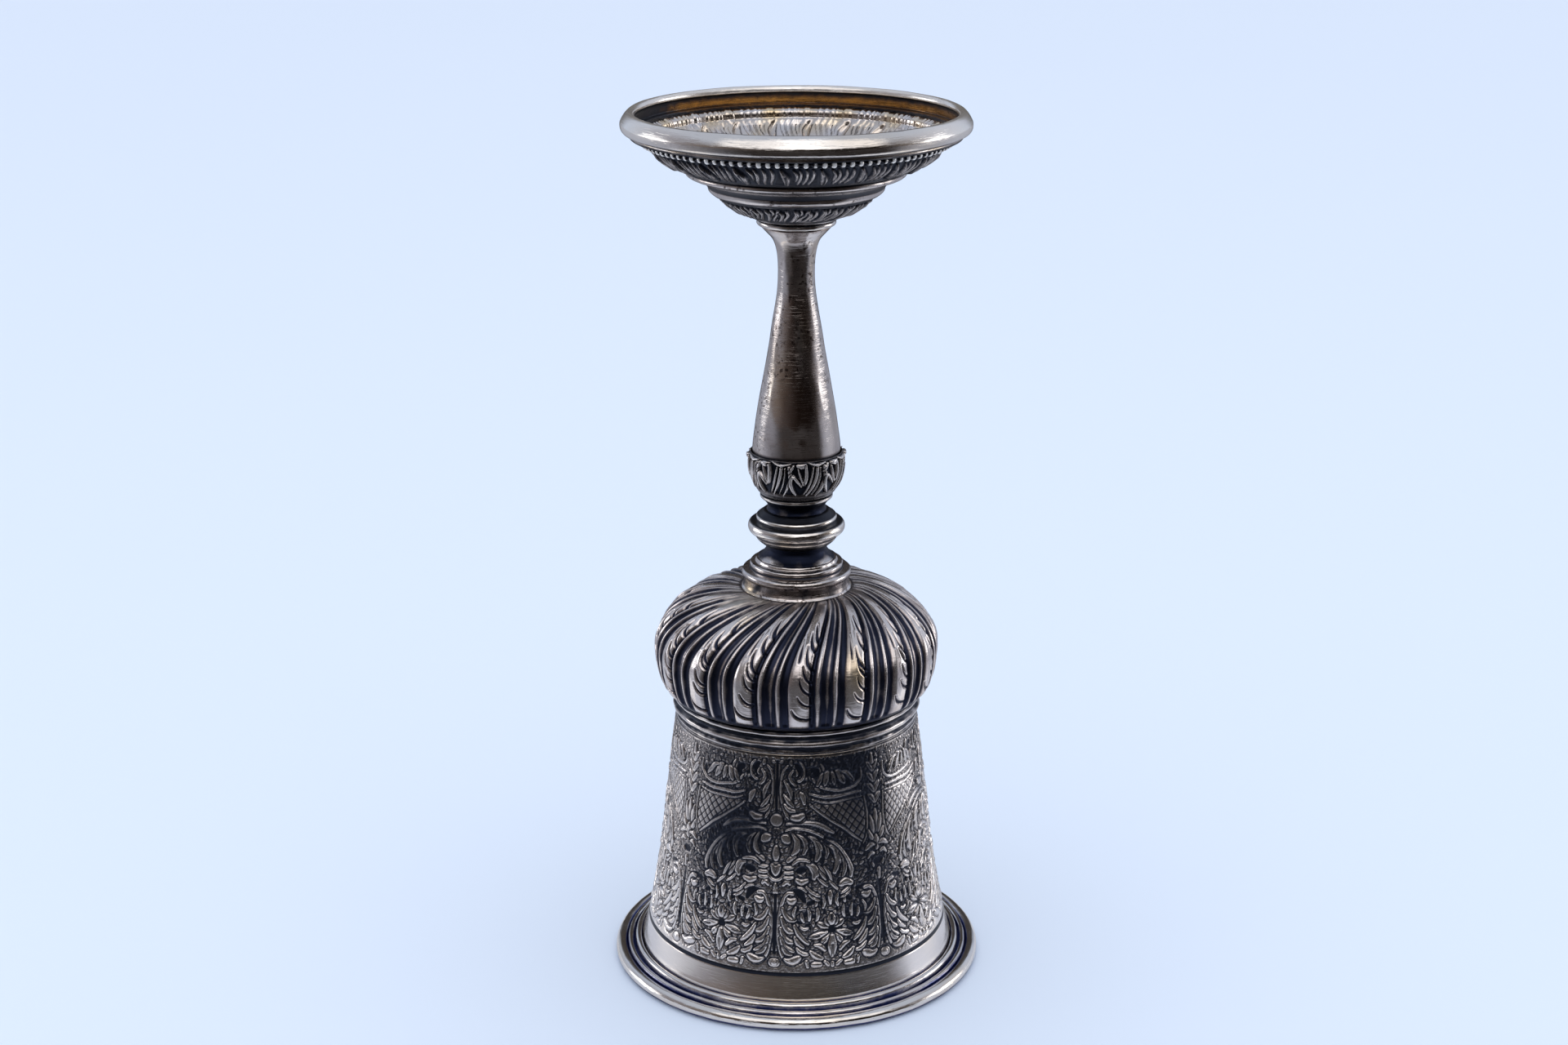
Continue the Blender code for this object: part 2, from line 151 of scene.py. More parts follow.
def grid_piece(name, R, A, Z, closed, attributes, smooth_angle=None, poles=False):
    """A mesh from (rows, columns) arrays of radius, angle and height. Columns
    always close on themselves; rows close too when closed is set."""
    nk, nj = R.shape
    R = np.minimum(R, 34.39)
    Z = np.clip(Z, 0.003, 159.995)
    co = np.stack([R * np.sin(A), -R * np.cos(A), Z + 0 * R], -1).reshape(-1, 3) * MM
    k = np.arange(nk if closed else nk - 1)
    j = np.arange(nj)
    K, J = np.meshgrid(k, j, indexing="ij")
    K2, J2 = (K + 1) % nk, (J + 1) % nj
    quads = np.stack([K * nj + J, K * nj + J2, K2 * nj + J2, K2 * nj + J], -1).reshape(-1, 4)
    arc_len = np.hypot(np.diff(R[:, 0]), np.diff(Z[:, 0] if Z.ndim > 1 else Z))
    v = np.r_[0, np.cumsum(arc_len)]
    v = v / (v[-1] * (1 + 1.0 / nk)) if closed else v / v[-1]
    v2 = v[K2].copy()
    if closed:
        v2[K == nk - 1] = 1.0
    u, u2 = J / nj, (J + 1) / nj
    uv = np.stack(
        [np.stack([u, v[K]], -1), np.stack([u2, v[K]], -1), np.stack([u2, v2], -1), np.stack([u, v2], -1)],
        2,
    ).reshape(-1, 2)
    loops = quads.reshape(-1)
    starts = np.arange(0, len(loops), 4)
    if poles:
        first, last = len(co), len(co) + 1
        z_first, z_last = co[:nj, 2].mean(), co[-nj:, 2].mean()
        co = np.vstack([co, [[0, 0, z_first], [0, 0, z_last]]])
        jj = np.arange(nj)
        a = np.stack([(jj + 1) % nj, jj, np.full(nj, first)], 1)
        base = (nk - 1) * nj
        b = np.stack([base + jj, base + (jj + 1) % nj, np.full(nj, last)], 1)
        tris = np.vstack([a, b])
        starts = np.r_[starts, len(loops) + np.arange(0, tris.size, 3)]
        loops = np.r_[loops, tris.reshape(-1)]
        um = (jj + 0.5) / nj
        ua = np.stack(
            [np.stack([(jj + 1) / nj, 0 * um], 1), np.stack([jj / nj, 0 * um], 1), np.stack([um, 0 * um], 1)], 1
        )
        ub = np.stack(
            [np.stack([jj / nj, 0 * um + 1], 1), np.stack([(jj + 1) / nj, 0 * um + 1], 1), np.stack([um, 0 * um + 1], 1)],
            1,
        )
        uv = np.vstack([uv, ua.reshape(-1, 2), ub.reshape(-1, 2)])
    mesh = bpy.data.meshes.new(name)
    mesh.vertices.add(len(co))
    mesh.vertices.foreach_set("co", co.astype(np.float32).reshape(-1))
    mesh.loops.add(len(loops))
    mesh.loops.foreach_set("vertex_index", loops.astype(np.int32))
    mesh.polygons.add(len(starts))
    mesh.polygons.foreach_set("loop_start", starts.astype(np.int32))
    mesh.update(calc_edges=True)
    mesh.validate()
    layer = mesh.uv_layers.new(name="OFBake")
    layer.data.foreach_set("uv", uv.astype(np.float32).reshape(-1))
    for key in ("patina_and_painted_light", "warm", "dull", "matte", "sleek"):
        values = attributes.get(key)
        values = np.zeros(nk * nj) if values is None else np.broadcast_to(values, (nk, nj)).reshape(-1)
        if poles:
            values = np.r_[values, values[0], values[-1]]
        mesh.attributes.new(key, "FLOAT", "POINT").data.foreach_set("value", values.astype(np.float32))
    mesh.shade_smooth()
    if smooth_angle is not None:
        mesh.set_sharp_from_angle(angle=math.radians(smooth_angle))
    obj = bpy.data.objects.new(name, mesh)
    bpy.context.scene.collection.objects.link(obj)
    PIECES.append(obj)
    return obj


def turned(
    name, node, outline, material, slot, columns=256, step=0.2, soften=2, closed=True,
    relief=None, span=0.7, tone=(0.04, 0.3), age=1.0, sharp=None, unevenness=0.015, **extra
):
    """A turned piece. Grooves of the outline come out darker than its crests."""
    q = even(outline, step, closed, soften)
    if area(q) < 0:
        q = q[::-1]
    nrm = normals(q, closed)
    cav = cavity(q, span, closed)
    a = np.arange(columns) / columns * TAU
    A, R = np.meshgrid(a, q[:, 0])
    Z = np.repeat(q[:, 1][:, None], columns, 1)
    seed = sum(map(ord, name))
    D = unevenness * wobble(A, Z, seed, kmax=9, zmax=0.15)
    patina_and_painted_light = age * np.repeat(smoothstep(tone[0], tone[1], cav)[:, None], columns, 1)
    attributes = {"patina_and_painted_light": patina_and_painted_light}
    if relief is not None:
        d, more = relief(A, R, Z)
        D = D + d
        if "patina_and_painted_light" in more:
            more["patina_and_painted_light"] = np.maximum(more["patina_and_painted_light"], patina_and_painted_light)
        attributes.update(more)
    if not closed:
        D = D * np.r_[0, np.ones(len(q) - 2), 0][:, None]
    R2 = np.maximum(R + D * nrm[:, :1], 0.0)
    Z2 = Z + D * nrm[:, 1:]
    obj = grid_piece(name, R2, A, Z2, closed, attributes, sharp, poles=not closed)
    return place(obj, node, material)


def place(obj, node, material):
    obj.data.materials.append(material)
    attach(obj, "root")
    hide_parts(*([node] if isinstance(node, str) else node))
    return obj


def shell(
    name, node, outer, wall, relief, material, columns, step, inner_step,
    inner_gain=0.8, ends_open=False, soften=1, span=0.8, tone=(0.05, 0.3), age=1.0, inside=None
):
    """A raised sheet: an outside outline with relief, and an inside that
    follows it a wall's thickness away, showing the same work from behind.
    relief(A, R, Z, S) gives (height, attributes); S is the run along the
    outline. With ends_open the last point lies on the axis at the crown."""
    q = even(outer, step, False, soften)
    n = normals(q, False)
    s = np.r_[0, np.cumsum(np.hypot(*np.diff(q, axis=0).T))]
    a = np.arange(columns) / columns * TAU
    A, R = np.meshgrid(a, q[:, 0])
    Z = np.repeat(q[:, 1][:, None], columns, 1)
    S = np.repeat(s[:, None], columns, 1)
    h, attributes = relief(A, R, Z, S)
    base = smoothstep(tone[0], tone[1], cavity(q, span, False))[:, None] * age
    attributes = dict(attributes)
    attributes["patina_and_painted_light"] = np.maximum(attributes.get("patina_and_painted_light", 0.0 * R), base + 0 * R)
    n_in = max(int(round(s[-1] / inner_step)), 6)
    pick = np.unique(np.round(np.linspace(0, len(q) - 1, n_in)).astype(int))[::-1]
    w = np.full(len(q), float(wall)) if np.isscalar(wall) else np.interp(s, *wall)
    # the inside sees a softened version of the relief
    g = max(int(round(0.35 / step)), 1)
    kern = np.ones(2 * g + 1) / (2 * g + 1)
    hs = h
    for axis in (0, 1):
        if axis == 1:
            m = np.concatenate([hs[:, -g:], hs, hs[:, :g]], 1)
        else:
            m = np.pad(hs, ((g, g), (0, 0)), mode="edge")
        c = np.cumsum(np.insert(m, 0, 0, axis=axis), axis=axis)
        width = 2 * g + 1
        hs = (np.take(c, range(width, c.shape[axis]), axis) - np.take(c, range(0, c.shape[axis] - width), axis)) / width
    R_out, Z_out = R + h * n[:, :1], Z + h * n[:, 1:]
    off = (inner_gain * hs - w[:, None])[pick]
    over = {}
    if inside is not None:
        extra, over = inside(A[pick], R[pick], Z[pick], S[pick])
        off = off + extra
    R_in = R[pick] + off * n[pick, :1]
    Z_in = Z[pick] + off * n[pick, 1:]
    keep = {}
    for key, value in attributes.items():
        value = np.broadcast_to(value, R.shape)
        inner = 0.35 * value[pick]
        if key == "patina_and_painted_light":
            inner = np.clip(0.25 + 2.2 * np.maximum(-(h - hs)[pick], 0) + 0.12 * wobble(A[pick], Z[pick], 5), 0, 1)
        if key in over:
            inner = np.where(over[key][0], over[key][1], inner)
        keep[key] = np.vstack([value, inner])
    RR, ZZ, AA = np.vstack([R_out, R_in]), np.vstack([Z_out, Z_in]), np.vstack([A, A[pick]])
    if ends_open:
        # start the rows at the inside pole and end them at the outside pole
        split = len(q)
        order = np.r_[np.arange(split, len(RR)), np.arange(0, split)]
        RR, ZZ, AA = RR[order], ZZ[order], AA[order]
        keep = {k: v[order] for k, v in keep.items()}
    obj = grid_piece(name, np.maximum(RR, 0.004), AA, ZZ, not ends_open, keep, None, poles=ends_open)
    return place(obj, node, material)


# ------------------------------------------------------------ chased relief
class Chasing:
    """A drawing board in mm for one repeat of chased ornament. Strokes are
    raised, rounded leaves edged by a punched line; the ground is sunk."""

    def __init__(self, width, height, res=0.04, ground=-0.13, ground_dark=0.78, grow=1.0):
        self.res = res
        self.x = np.arange(0, width + res, res)
        self.y = np.arange(0, height + res, res)
        self.X, self.Y = np.meshgrid(self.x, self.y)
        self.H = np.full(self.X.shape, float(ground))
        self.P = np.full(self.X.shape, float(ground_dark))
        self.width, self.height, self.grow = width, height, grow

    def window(self, x0, x1, y0, y1):
        i0, i1 = np.searchsorted(self.x, [x0, x1])
        j0, j1 = np.searchsorted(self.y, [y0, y1])
        return slice(max(j0 - 1, 0), j1 + 1), slice(max(i0 - 1, 0), i1 + 1)

    def distance(self, points, widths, margin):
        p = np.column_stack([np.asarray(points, float), np.asarray(widths, float)])
        p = catmull(p, 6) if len(p) > 1 else p
        wide = p[:, 2].max() + margin
        win = self.window(p[:, 0].min() - wide, p[:, 0].max() + wide, p[:, 1].min() - wide, p[:, 1].max() + wide)
        X, Y = self.X[win], self.Y[win]
        if X.size == 0:
            return None
        best = np.full(X.shape, -1e9)
        width = np.full(X.shape, 1e-3)
        if len(p) == 1:
            best = p[0, 2] - np.hypot(X - p[0, 0], Y - p[0, 1])
            width = np.full(X.shape, p[0, 2])
        for a, b in zip(p[:-1], p[1:]):
            d = b[:2] - a[:2]
            ll = max(d @ d, 1e-9)
            t = np.clip(((X - a[0]) * d[0] + (Y - a[1]) * d[1]) / ll, 0, 1)
            w = a[2] + (b[2] - a[2]) * t
            e = w - np.hypot(X - a[0] - t * d[0], Y - a[1] - t * d[1])
            better = e > best
            best = np.where(better, e, best)
            width = np.where(better, w, width)
        return win, best, width

    def leaf(self, points, widths, height=0.24, line=0.20, depth=0.13, dark=1.0, tone=0.03, base=0.0, grow=None, veined=1.0):
        """A raised leaf with a broad, nearly flat top and a black outline."""
        grow = self.grow if grow is None else grow
        got = self.distance(points, np.asarray(widths, float) * grow, 3 * line)
        if got is None:
            return self
        win, e, w = got
        t = np.clip(e / np.maximum(w, 0.05), 0, 1)
        dome = np.sqrt(np.clip(1 - (1 - t) ** 2, 0, 1))
        inside = smoothstep(-0.03, 0.05, e)
        top = base + height * (0.30 + 0.70 * dome) * np.clip(w / 0.35, 0.45, 1.1)
        groove = np.exp(-(((e + 0.55 * line) / (0.62 * line)) ** 2)) * (1 - inside)
        H, P = self.H[win], self.P[win]
        vein = np.exp(-(((t - 0.42) / 0.12) ** 2)) * smoothstep(0.26, 0.38, w) * smoothstep(0.62, 0.5, w) * veined
        self.H[win] = H * (1 - inside) + (top - 0.05 * vein) * inside - depth * groove
        P = P * (1 - inside) + (tone + 0.28 * (1 - dome) ** 2 + 0.30 * vein) * inside
        self.P[win] = np.maximum(P, dark * groove)
        return self

    def line(self, points, half=0.09, depth=0.16, dark=1.0):
        """A line cut by a tracing punch."""
        got = self.distance(points, [half] * len(points), 0.3)
        if got is None:
            return self
        win, e, _ = got
        groove = smoothstep(-0.09, half * 0.8, e)
        self.H[win] -= depth * groove
        self.P[win] = np.maximum(self.P[win], dark * groove)
        return self

    def sink(self, points, widths, level=-0.3, dark=1.0):
        got = self.distance(points, widths, 0.2)
        if got is None:
            return self
        win, e, _ = got
        inside = smoothstep(-0.06, 0.14, e)
        self.H[win] = self.H[win] * (1 - inside) + level * inside
        self.P[win] = np.maximum(self.P[win] * (1 - inside), dark * inside)
        return self

    def ring(self, cx, cy, rx, ry=None, half=0.13, height=0.2, line=0.12, core=None):
        ry = ry or rx
        t = np.linspace(0, TAU, 19)
        pts = np.stack([cx + rx * np.cos(t), cy + ry * np.sin(t)], 1)
        if core is not None:
            self.sink([(cx - 0.35 * max(rx - ry, 0), cy), (cx + 0.35 * max(rx - ry, 0.001), cy)], [min(rx, ry)] * 2, core)
        return self.leaf(pts, [half] * len(pts), height, line)

    def stipple(self, spacing, seed, radius=0.17, height=0.13, tone=0.3):
        """The ground matted with small round punch marks."""
        rng = np.random.default_rng(seed)
        row = 0
        y = 0.2
        while y < self.height:
            x = (row % 2) * spacing / 2
            while x < self.width + spacing:
                cx = x + rng.uniform(-0.14, 0.14)
                cy = y + rng.uniform(-0.12, 0.12)
                r = radius * rng.uniform(0.7, 1.25)
                win = self.window(cx - 2 * r, cx + 2 * r, cy - 2 * r, cy + 2 * r)
                d = np.hypot(self.X[win] - cx, self.Y[win] - cy)
                g = np.exp(-((d / r) ** 2))
                self.H[win] += height * g
                self.P[win] = self.P[win] * (1 - g) + tone * g
                x += spacing
            y += spacing * 0.86
            row += 1
        return self

    def sprigs(self, spacing, seed, y0=0.0, y1=1e3, size=0.3, height=0.2, tone=0.08, chance=1.0, pits=0.3):
        """Small curled leaves and black punch marks that fill the ground."""
        rng = np.random.default_rng(seed)
        y = y0 + 0.3
        row = 0
        while y < min(y1, self.height):
            x = (row % 2) * spacing / 2
            while x < self.width + spacing:
                cx, cy = x + rng.uniform(-0.25, 0.25) * spacing, y + rng.uniform(-0.25, 0.25) * spacing
                turn = rng.uniform(0, TAU)
                bend = rng.uniform(-0.9, 0.9)
                run = spacing * rng.uniform(0.22, 0.46)
                w = size * rng.uniform(0.7, 1.25)
                kind = rng.uniform()
                x += spacing
                if kind > chance:
                    continue
                a = (cx - run * math.cos(turn), cy - run * math.sin(turn))
                b = (cx + run * math.cos(turn + bend), cy + run * math.sin(turn + bend))
                if kind < pits * chance:
                    self.sink([a, b], [w * 0.75, w * 0.5], -0.26)
                else:
                    self.leaf([a, (cx, cy), b], [w * 0.5, w, w * 0.45], height=height * rng.uniform(0.75, 1.15),
                              line=0.15, tone=tone + rng.uniform(0, 0.16), grow=1.0)
            y += spacing * 0.8
            row += 1
        return self

    def ease(self, passes=2):
        for _ in range(passes):
            for name in ("H", "P"):
                f = np.pad(getattr(self, name), 1, mode="edge")
                f = (f[:-2] + 2 * f[1:-1] + f[2:]) / 4
                f = (f[:, :-2] + 2 * f[:, 1:-1] + f[:, 2:]) / 4
                setattr(self, name, f)
        return self

    def sample(self, x, y):
        fx = np.clip(x / self.res, 0, len(self.x) - 1.001)
        fy = np.clip(y / self.res, 0, len(self.y) - 1.001)
        i, j = fx.astype(int), fy.astype(int)
        u, v = fx - i, fy - j
        out = []
        for f in (self.H, self.P):
            out.append(
                f[j, i] * (1 - u) * (1 - v)
                + f[j, i + 1] * u * (1 - v)
                + f[j + 1, i] * (1 - u) * v
                + f[j + 1, i + 1] * u * v
            )
        return out


def fold(angle, period):
    t = np.mod(angle, period)
    return np.where(t > period / 2, period - t, t)


# ------------------------------------------------------------------ finishes
class Nodes:
    """Short hand for wiring a shader."""

    def __init__(self, tree):
        self.tree = tree
        self.nodes = tree.nodes
        self.links = tree.links

    def new(self, kind, **settings):
        node = self.nodes.new(kind)
        for key, value in settings.items():
            setattr(node, key, value)
        return node

    def put(self, socket, value):
        if isinstance(value, bpy.types.NodeSocket):
            self.links.new(value, socket)
        elif value is not None:
            socket.default_value = value

    def math(self, operation, a, b=None, c=None, clamp=False):
        node = self.new("ShaderNodeMath", operation=operation, use_clamp=clamp)
        for socket, value in zip(node.inputs, (a, b, c)):
            self.put(socket, value)
        return node.outputs[0]

    def noise(self, vector, scale, detail=4.0, rough=0.55, distortion=0.0):
        node = self.new("ShaderNodeTexNoise")
        self.put(node.inputs["Vector"], vector)
        node.inputs["Scale"].default_value = scale
        node.inputs["Detail"].default_value = detail
        node.inputs["Roughness"].default_value = rough
        node.inputs["Distortion"].default_value = distortion
        return node.outputs["Fac"]

    def remap(self, value, a, b, c=0.0, d=1.0, smooth=True):
        node = self.new("ShaderNodeMapRange", clamp=True)
        node.interpolation_type = "SMOOTHSTEP" if smooth else "LINEAR"
        self.put(node.inputs["Value"], value)
        for key, number in zip(("From Min", "From Max", "To Min", "To Max"), (a, b, c, d)):
            node.inputs[key].default_value = number
        return node.outputs["Result"]

    def mix(self, factor, a, b):
        node = self.new("ShaderNodeMix", data_type="RGBA")
        self.put(node.inputs[0], factor)
        self.put(node.inputs[6], a if isinstance(a, bpy.types.NodeSocket) else (*a, 1.0))
        self.put(node.inputs[7], b if isinstance(b, bpy.types.NodeSocket) else (*b, 1.0))
        return node.outputs[2]


def silver(name, clean=(0.86, 0.83, 0.80), tarnish_and_painted_light=(0.46, 0.40, 0.37), oxide=(0.035, 0.038, 0.050),
           rough=0.17, mottle=0.5, scratches=0.35, lathe=0.0, spots=0.0, hammered=0.0):
    """Old silver: bright on the worn crests, brownish film between, blue-black
    oxide in the hollows, fine scratches and soft unevenness."""
    material = bpy.data.materials.new(name)
    material.use_nodes = True
    n = Nodes(material.node_tree)
    shader = n.nodes["Principled BSDF"]
    where = n.new("ShaderNodeTexCoord").outputs["Object"]
    # this attribute carries oxide in the hollows and also painted shade and painted highlights laid on by some pieces
    patina_and_painted_light = n.new("ShaderNodeAttribute", attribute_name="patina_and_painted_light").outputs["Fac"]
    warm = n.new("ShaderNodeAttribute", attribute_name="warm").outputs["Fac"]
    dull = n.new("ShaderNodeAttribute", attribute_name="dull").outputs["Fac"]
    matte = n.new("ShaderNodeAttribute", attribute_name="matte").outputs["Fac"]
    sleek = n.new("ShaderNodeAttribute", attribute_name="sleek").outputs["Fac"]

    cloud = n.noise(where, 130.0, 5.0, 0.6, 0.4)
    fine = n.noise(where, 900.0, 3.0, 0.6)
    grain = n.noise(where, 3200.0, 2.0, 0.5)
    # oxide creeps out of the hollows unevenly
    uneven = n.math("MULTIPLY_ADD", fine, 0.34, -0.17)
    rough_part = n.math("MULTIPLY_ADD", sleek, -0.9, 1.0, clamp=True)
    uneven = n.math("MULTIPLY", uneven, rough_part)
    black = n.math("ADD", patina_and_painted_light, uneven)
    black = n.remap(black, 0.34, 0.92)
    film = n.math("MULTIPLY_ADD", cloud, 1.1, -0.25)
    film = n.math("ADD", film, n.math("MULTIPLY", patina_and_painted_light, 0.9))
    film = n.remap(film, 0.25, 0.95, 0.0, 1.0)
    film = n.math("MULTIPLY", film, mottle)
    colour = n.mix(film, clean, tarnish_and_painted_light)
    deep = n.remap(warm, 0.86, 0.97)
    gold = n.mix(deep, (0.80, 0.60, 0.30), (0.50, 0.245, 0.055))
    colour = n.mix(n.math("MAXIMUM", n.math("MULTIPLY", warm, 0.9), deep), colour, gold)
    colour = n.mix(n.math("MULTIPLY", dull, 0.75), colour, (0.44, 0.42, 0.39))
    if spots:
        speck = n.remap(n.noise(where, 1250.0, 3.0, 0.55), 0.54, 0.64)
        patch = n.remap(n.noise(where, 190.0, 2.0, 0.5), 0.44, 0.56)
        speck = n.math("MULTIPLY", speck, n.math("MULTIPLY_ADD", patch, 0.85, 0.15))
        speck = n.math("MULTIPLY", speck, rough_part)
        colour = n.mix(n.math("MULTIPLY", speck, spots), colour, (0.10, 0.075, 0.065))
    colour = n.mix(black, colour, oxide)
    n.put(shader.inputs["Base Color"], colour)
    # frosted work scatters part of the light
    n.put(shader.inputs["Metallic"], n.math("MULTIPLY_ADD", matte, -0.55, 1.0, clamp=True))

    roughness = n.math("MULTIPLY_ADD", cloud, 0.16, rough - 0.08)
    roughness = n.math("ADD", roughness, n.math("MULTIPLY_ADD", grain, 0.08, -0.04))
    roughness = n.math("ADD", roughness, n.math("MULTIPLY", black, 0.26))
    roughness = n.math("ADD", roughness, n.math("MULTIPLY", matte, 0.16))
    roughness = n.math("ADD", roughness, n.math("MULTIPLY", sleek, -0.08))
    roughness = n.math("ADD", roughness, n.math("MULTIPLY", dull, 0.25), clamp=True)
    n.put(shader.inputs["Roughness"], roughness)

    # fine scratches in two directions, and the lathe's rings
    height = n.math("MULTIPLY", n.math("MULTIPLY", grain, 0.35), rough_part)
    for turn, seed in (((0.5, 0.3, 0.2), 0.0), ((-0.4, 0.8, 1.1), 7.0)):
        mapping = n.new("ShaderNodeMapping")
        mapping.inputs["Rotation"].default_value = turn
        mapping.inputs["Location"].default_value = (seed, seed, seed)
        mapping.inputs["Scale"].default_value = (1.0, 1.0, 22.0)
        n.put(mapping.inputs["Vector"], where)
        streak = n.noise(mapping.outputs[0], 260.0, 2.0, 0.5)
        height = n.math("ADD", height, n.math("MULTIPLY", n.remap(streak, 0.56, 0.70), scratches))
    if lathe:
        xyz = n.new("ShaderNodeSeparateXYZ")
        n.put(xyz.inputs[0], where)
        radius = n.math("SQRT", n.math("ADD", n.math("POWER", xyz.outputs[0], 2.0), n.math("POWER", xyz.outputs[1], 2.0)))
        along = n.new("ShaderNodeCombineXYZ")
        n.put(along.inputs[0], n.math("MULTIPLY", radius, 1.0))
        n.put(along.inputs[1], n.math("MULTIPLY", xyz.outputs[2], 1.0))
        n.put(along.inputs[2], n.math("MULTIPLY", n.math("ARCTAN2", xyz.outputs[1], xyz.outputs[0]), 0.0002))
        rings = n.noise(along.outputs[0], 5200.0, 2.0, 0.6)
        height = n.math("ADD", height, n.math("MULTIPLY", rings, lathe))
    if hammered:
        dents = n.noise(where, 330.0, 1.0, 0.4)
        height = n.math("ADD", height, n.math("MULTIPLY", dents, hammered))
    node = n.new("ShaderNodeBump")
    n.put(node.inputs["Strength"], n.math("MULTIPLY_ADD", sleek, -0.38, 0.5, clamp=True))
    node.inputs["Distance"].default_value = 0.00004
    n.put(node.inputs["Height"], height)
    n.put(shader.inputs["Normal"], node.outputs[0])
    return material


def brass(name):
    material = bpy.data.materials.new(name)
    material.use_nodes = True
    n = Nodes(material.node_tree)
    shader = n.nodes["Principled BSDF"]
    where = n.new("ShaderNodeTexCoord").outputs["Object"]
    cloud = n.noise(where, 300.0, 5.0, 0.6, 0.3)
    grain = n.noise(where, 2600.0, 3.0, 0.6)
    colour = n.mix(n.remap(cloud, 0.35, 0.7), (0.70, 0.52, 0.26), (0.30, 0.19, 0.09))
    colour = n.mix(n.remap(grain, 0.62, 0.75, 0.0, 0.5), colour, (0.12, 0.10, 0.07))
    n.put(shader.inputs["Base Color"], colour)
    shader.inputs["Metallic"].default_value = 1.0
    n.put(shader.inputs["Roughness"], n.math("MULTIPLY_ADD", cloud, 0.3, 0.18))
    node = n.new("ShaderNodeBump")
    node.inputs["Strength"].default_value = 0.4
    node.inputs["Distance"].default_value = 0.00004
    n.put(node.inputs["Height"], grain)
    n.put(shader.inputs["Normal"], node.outputs[0])
    return material


CHASED = silver("silver_chased", clean=(0.81, 0.775, 0.765), tarnish_and_painted_light=(0.42, 0.375, 0.36), oxide=(0.027, 0.032, 0.048), mottle=0.6, scratches=0.2)
POLISHED = silver("silver_polished", rough=0.12, mottle=0.35, scratches=0.45, lathe=0.15)
LOBED = silver("silver_lobed", clean=(0.80, 0.76, 0.755), tarnish_and_painted_light=(0.38, 0.31, 0.29), oxide=(0.026, 0.031, 0.056), rough=0.16, mottle=0.75, scratches=0.3)
BLUED = silver("silver_blued", oxide=(0.040, 0.060, 0.20), rough=0.11, mottle=0.3, scratches=0.4, lathe=0.1)
SATIN = silver("silver_satin", clean=(0.71, 0.67, 0.655), tarnish_and_painted_light=(0.40, 0.33, 0.30), rough=0.155, mottle=0.7, scratches=0.4, spots=0.9, hammered=2.2)
SHADED = silver("silver_shaded", clean=(0.62, 0.61, 0.62), oxide=(0.017, 0.022, 0.044), rough=0.2, mottle=0.6, scratches=0.3, lathe=0.2)
BRASS = brass("brass_fitting")


# ----------------------------------------------------------------------- cup
LIP_EDGE = 29.25
CUP_TOP_Z = 48.6
SPINE = -8.6  # angle of the first spine of the ornament
DEG = 0.43  # mm to a degree at the cup's mean radius


def cup_radius(z):
    flare = np.maximum(0.0, (30.7 - np.asarray(z, float)) / 30.7)
    return 22.35 + 0.118 * (CUP_TOP_Z - z) + 2.5 * flare**3.3


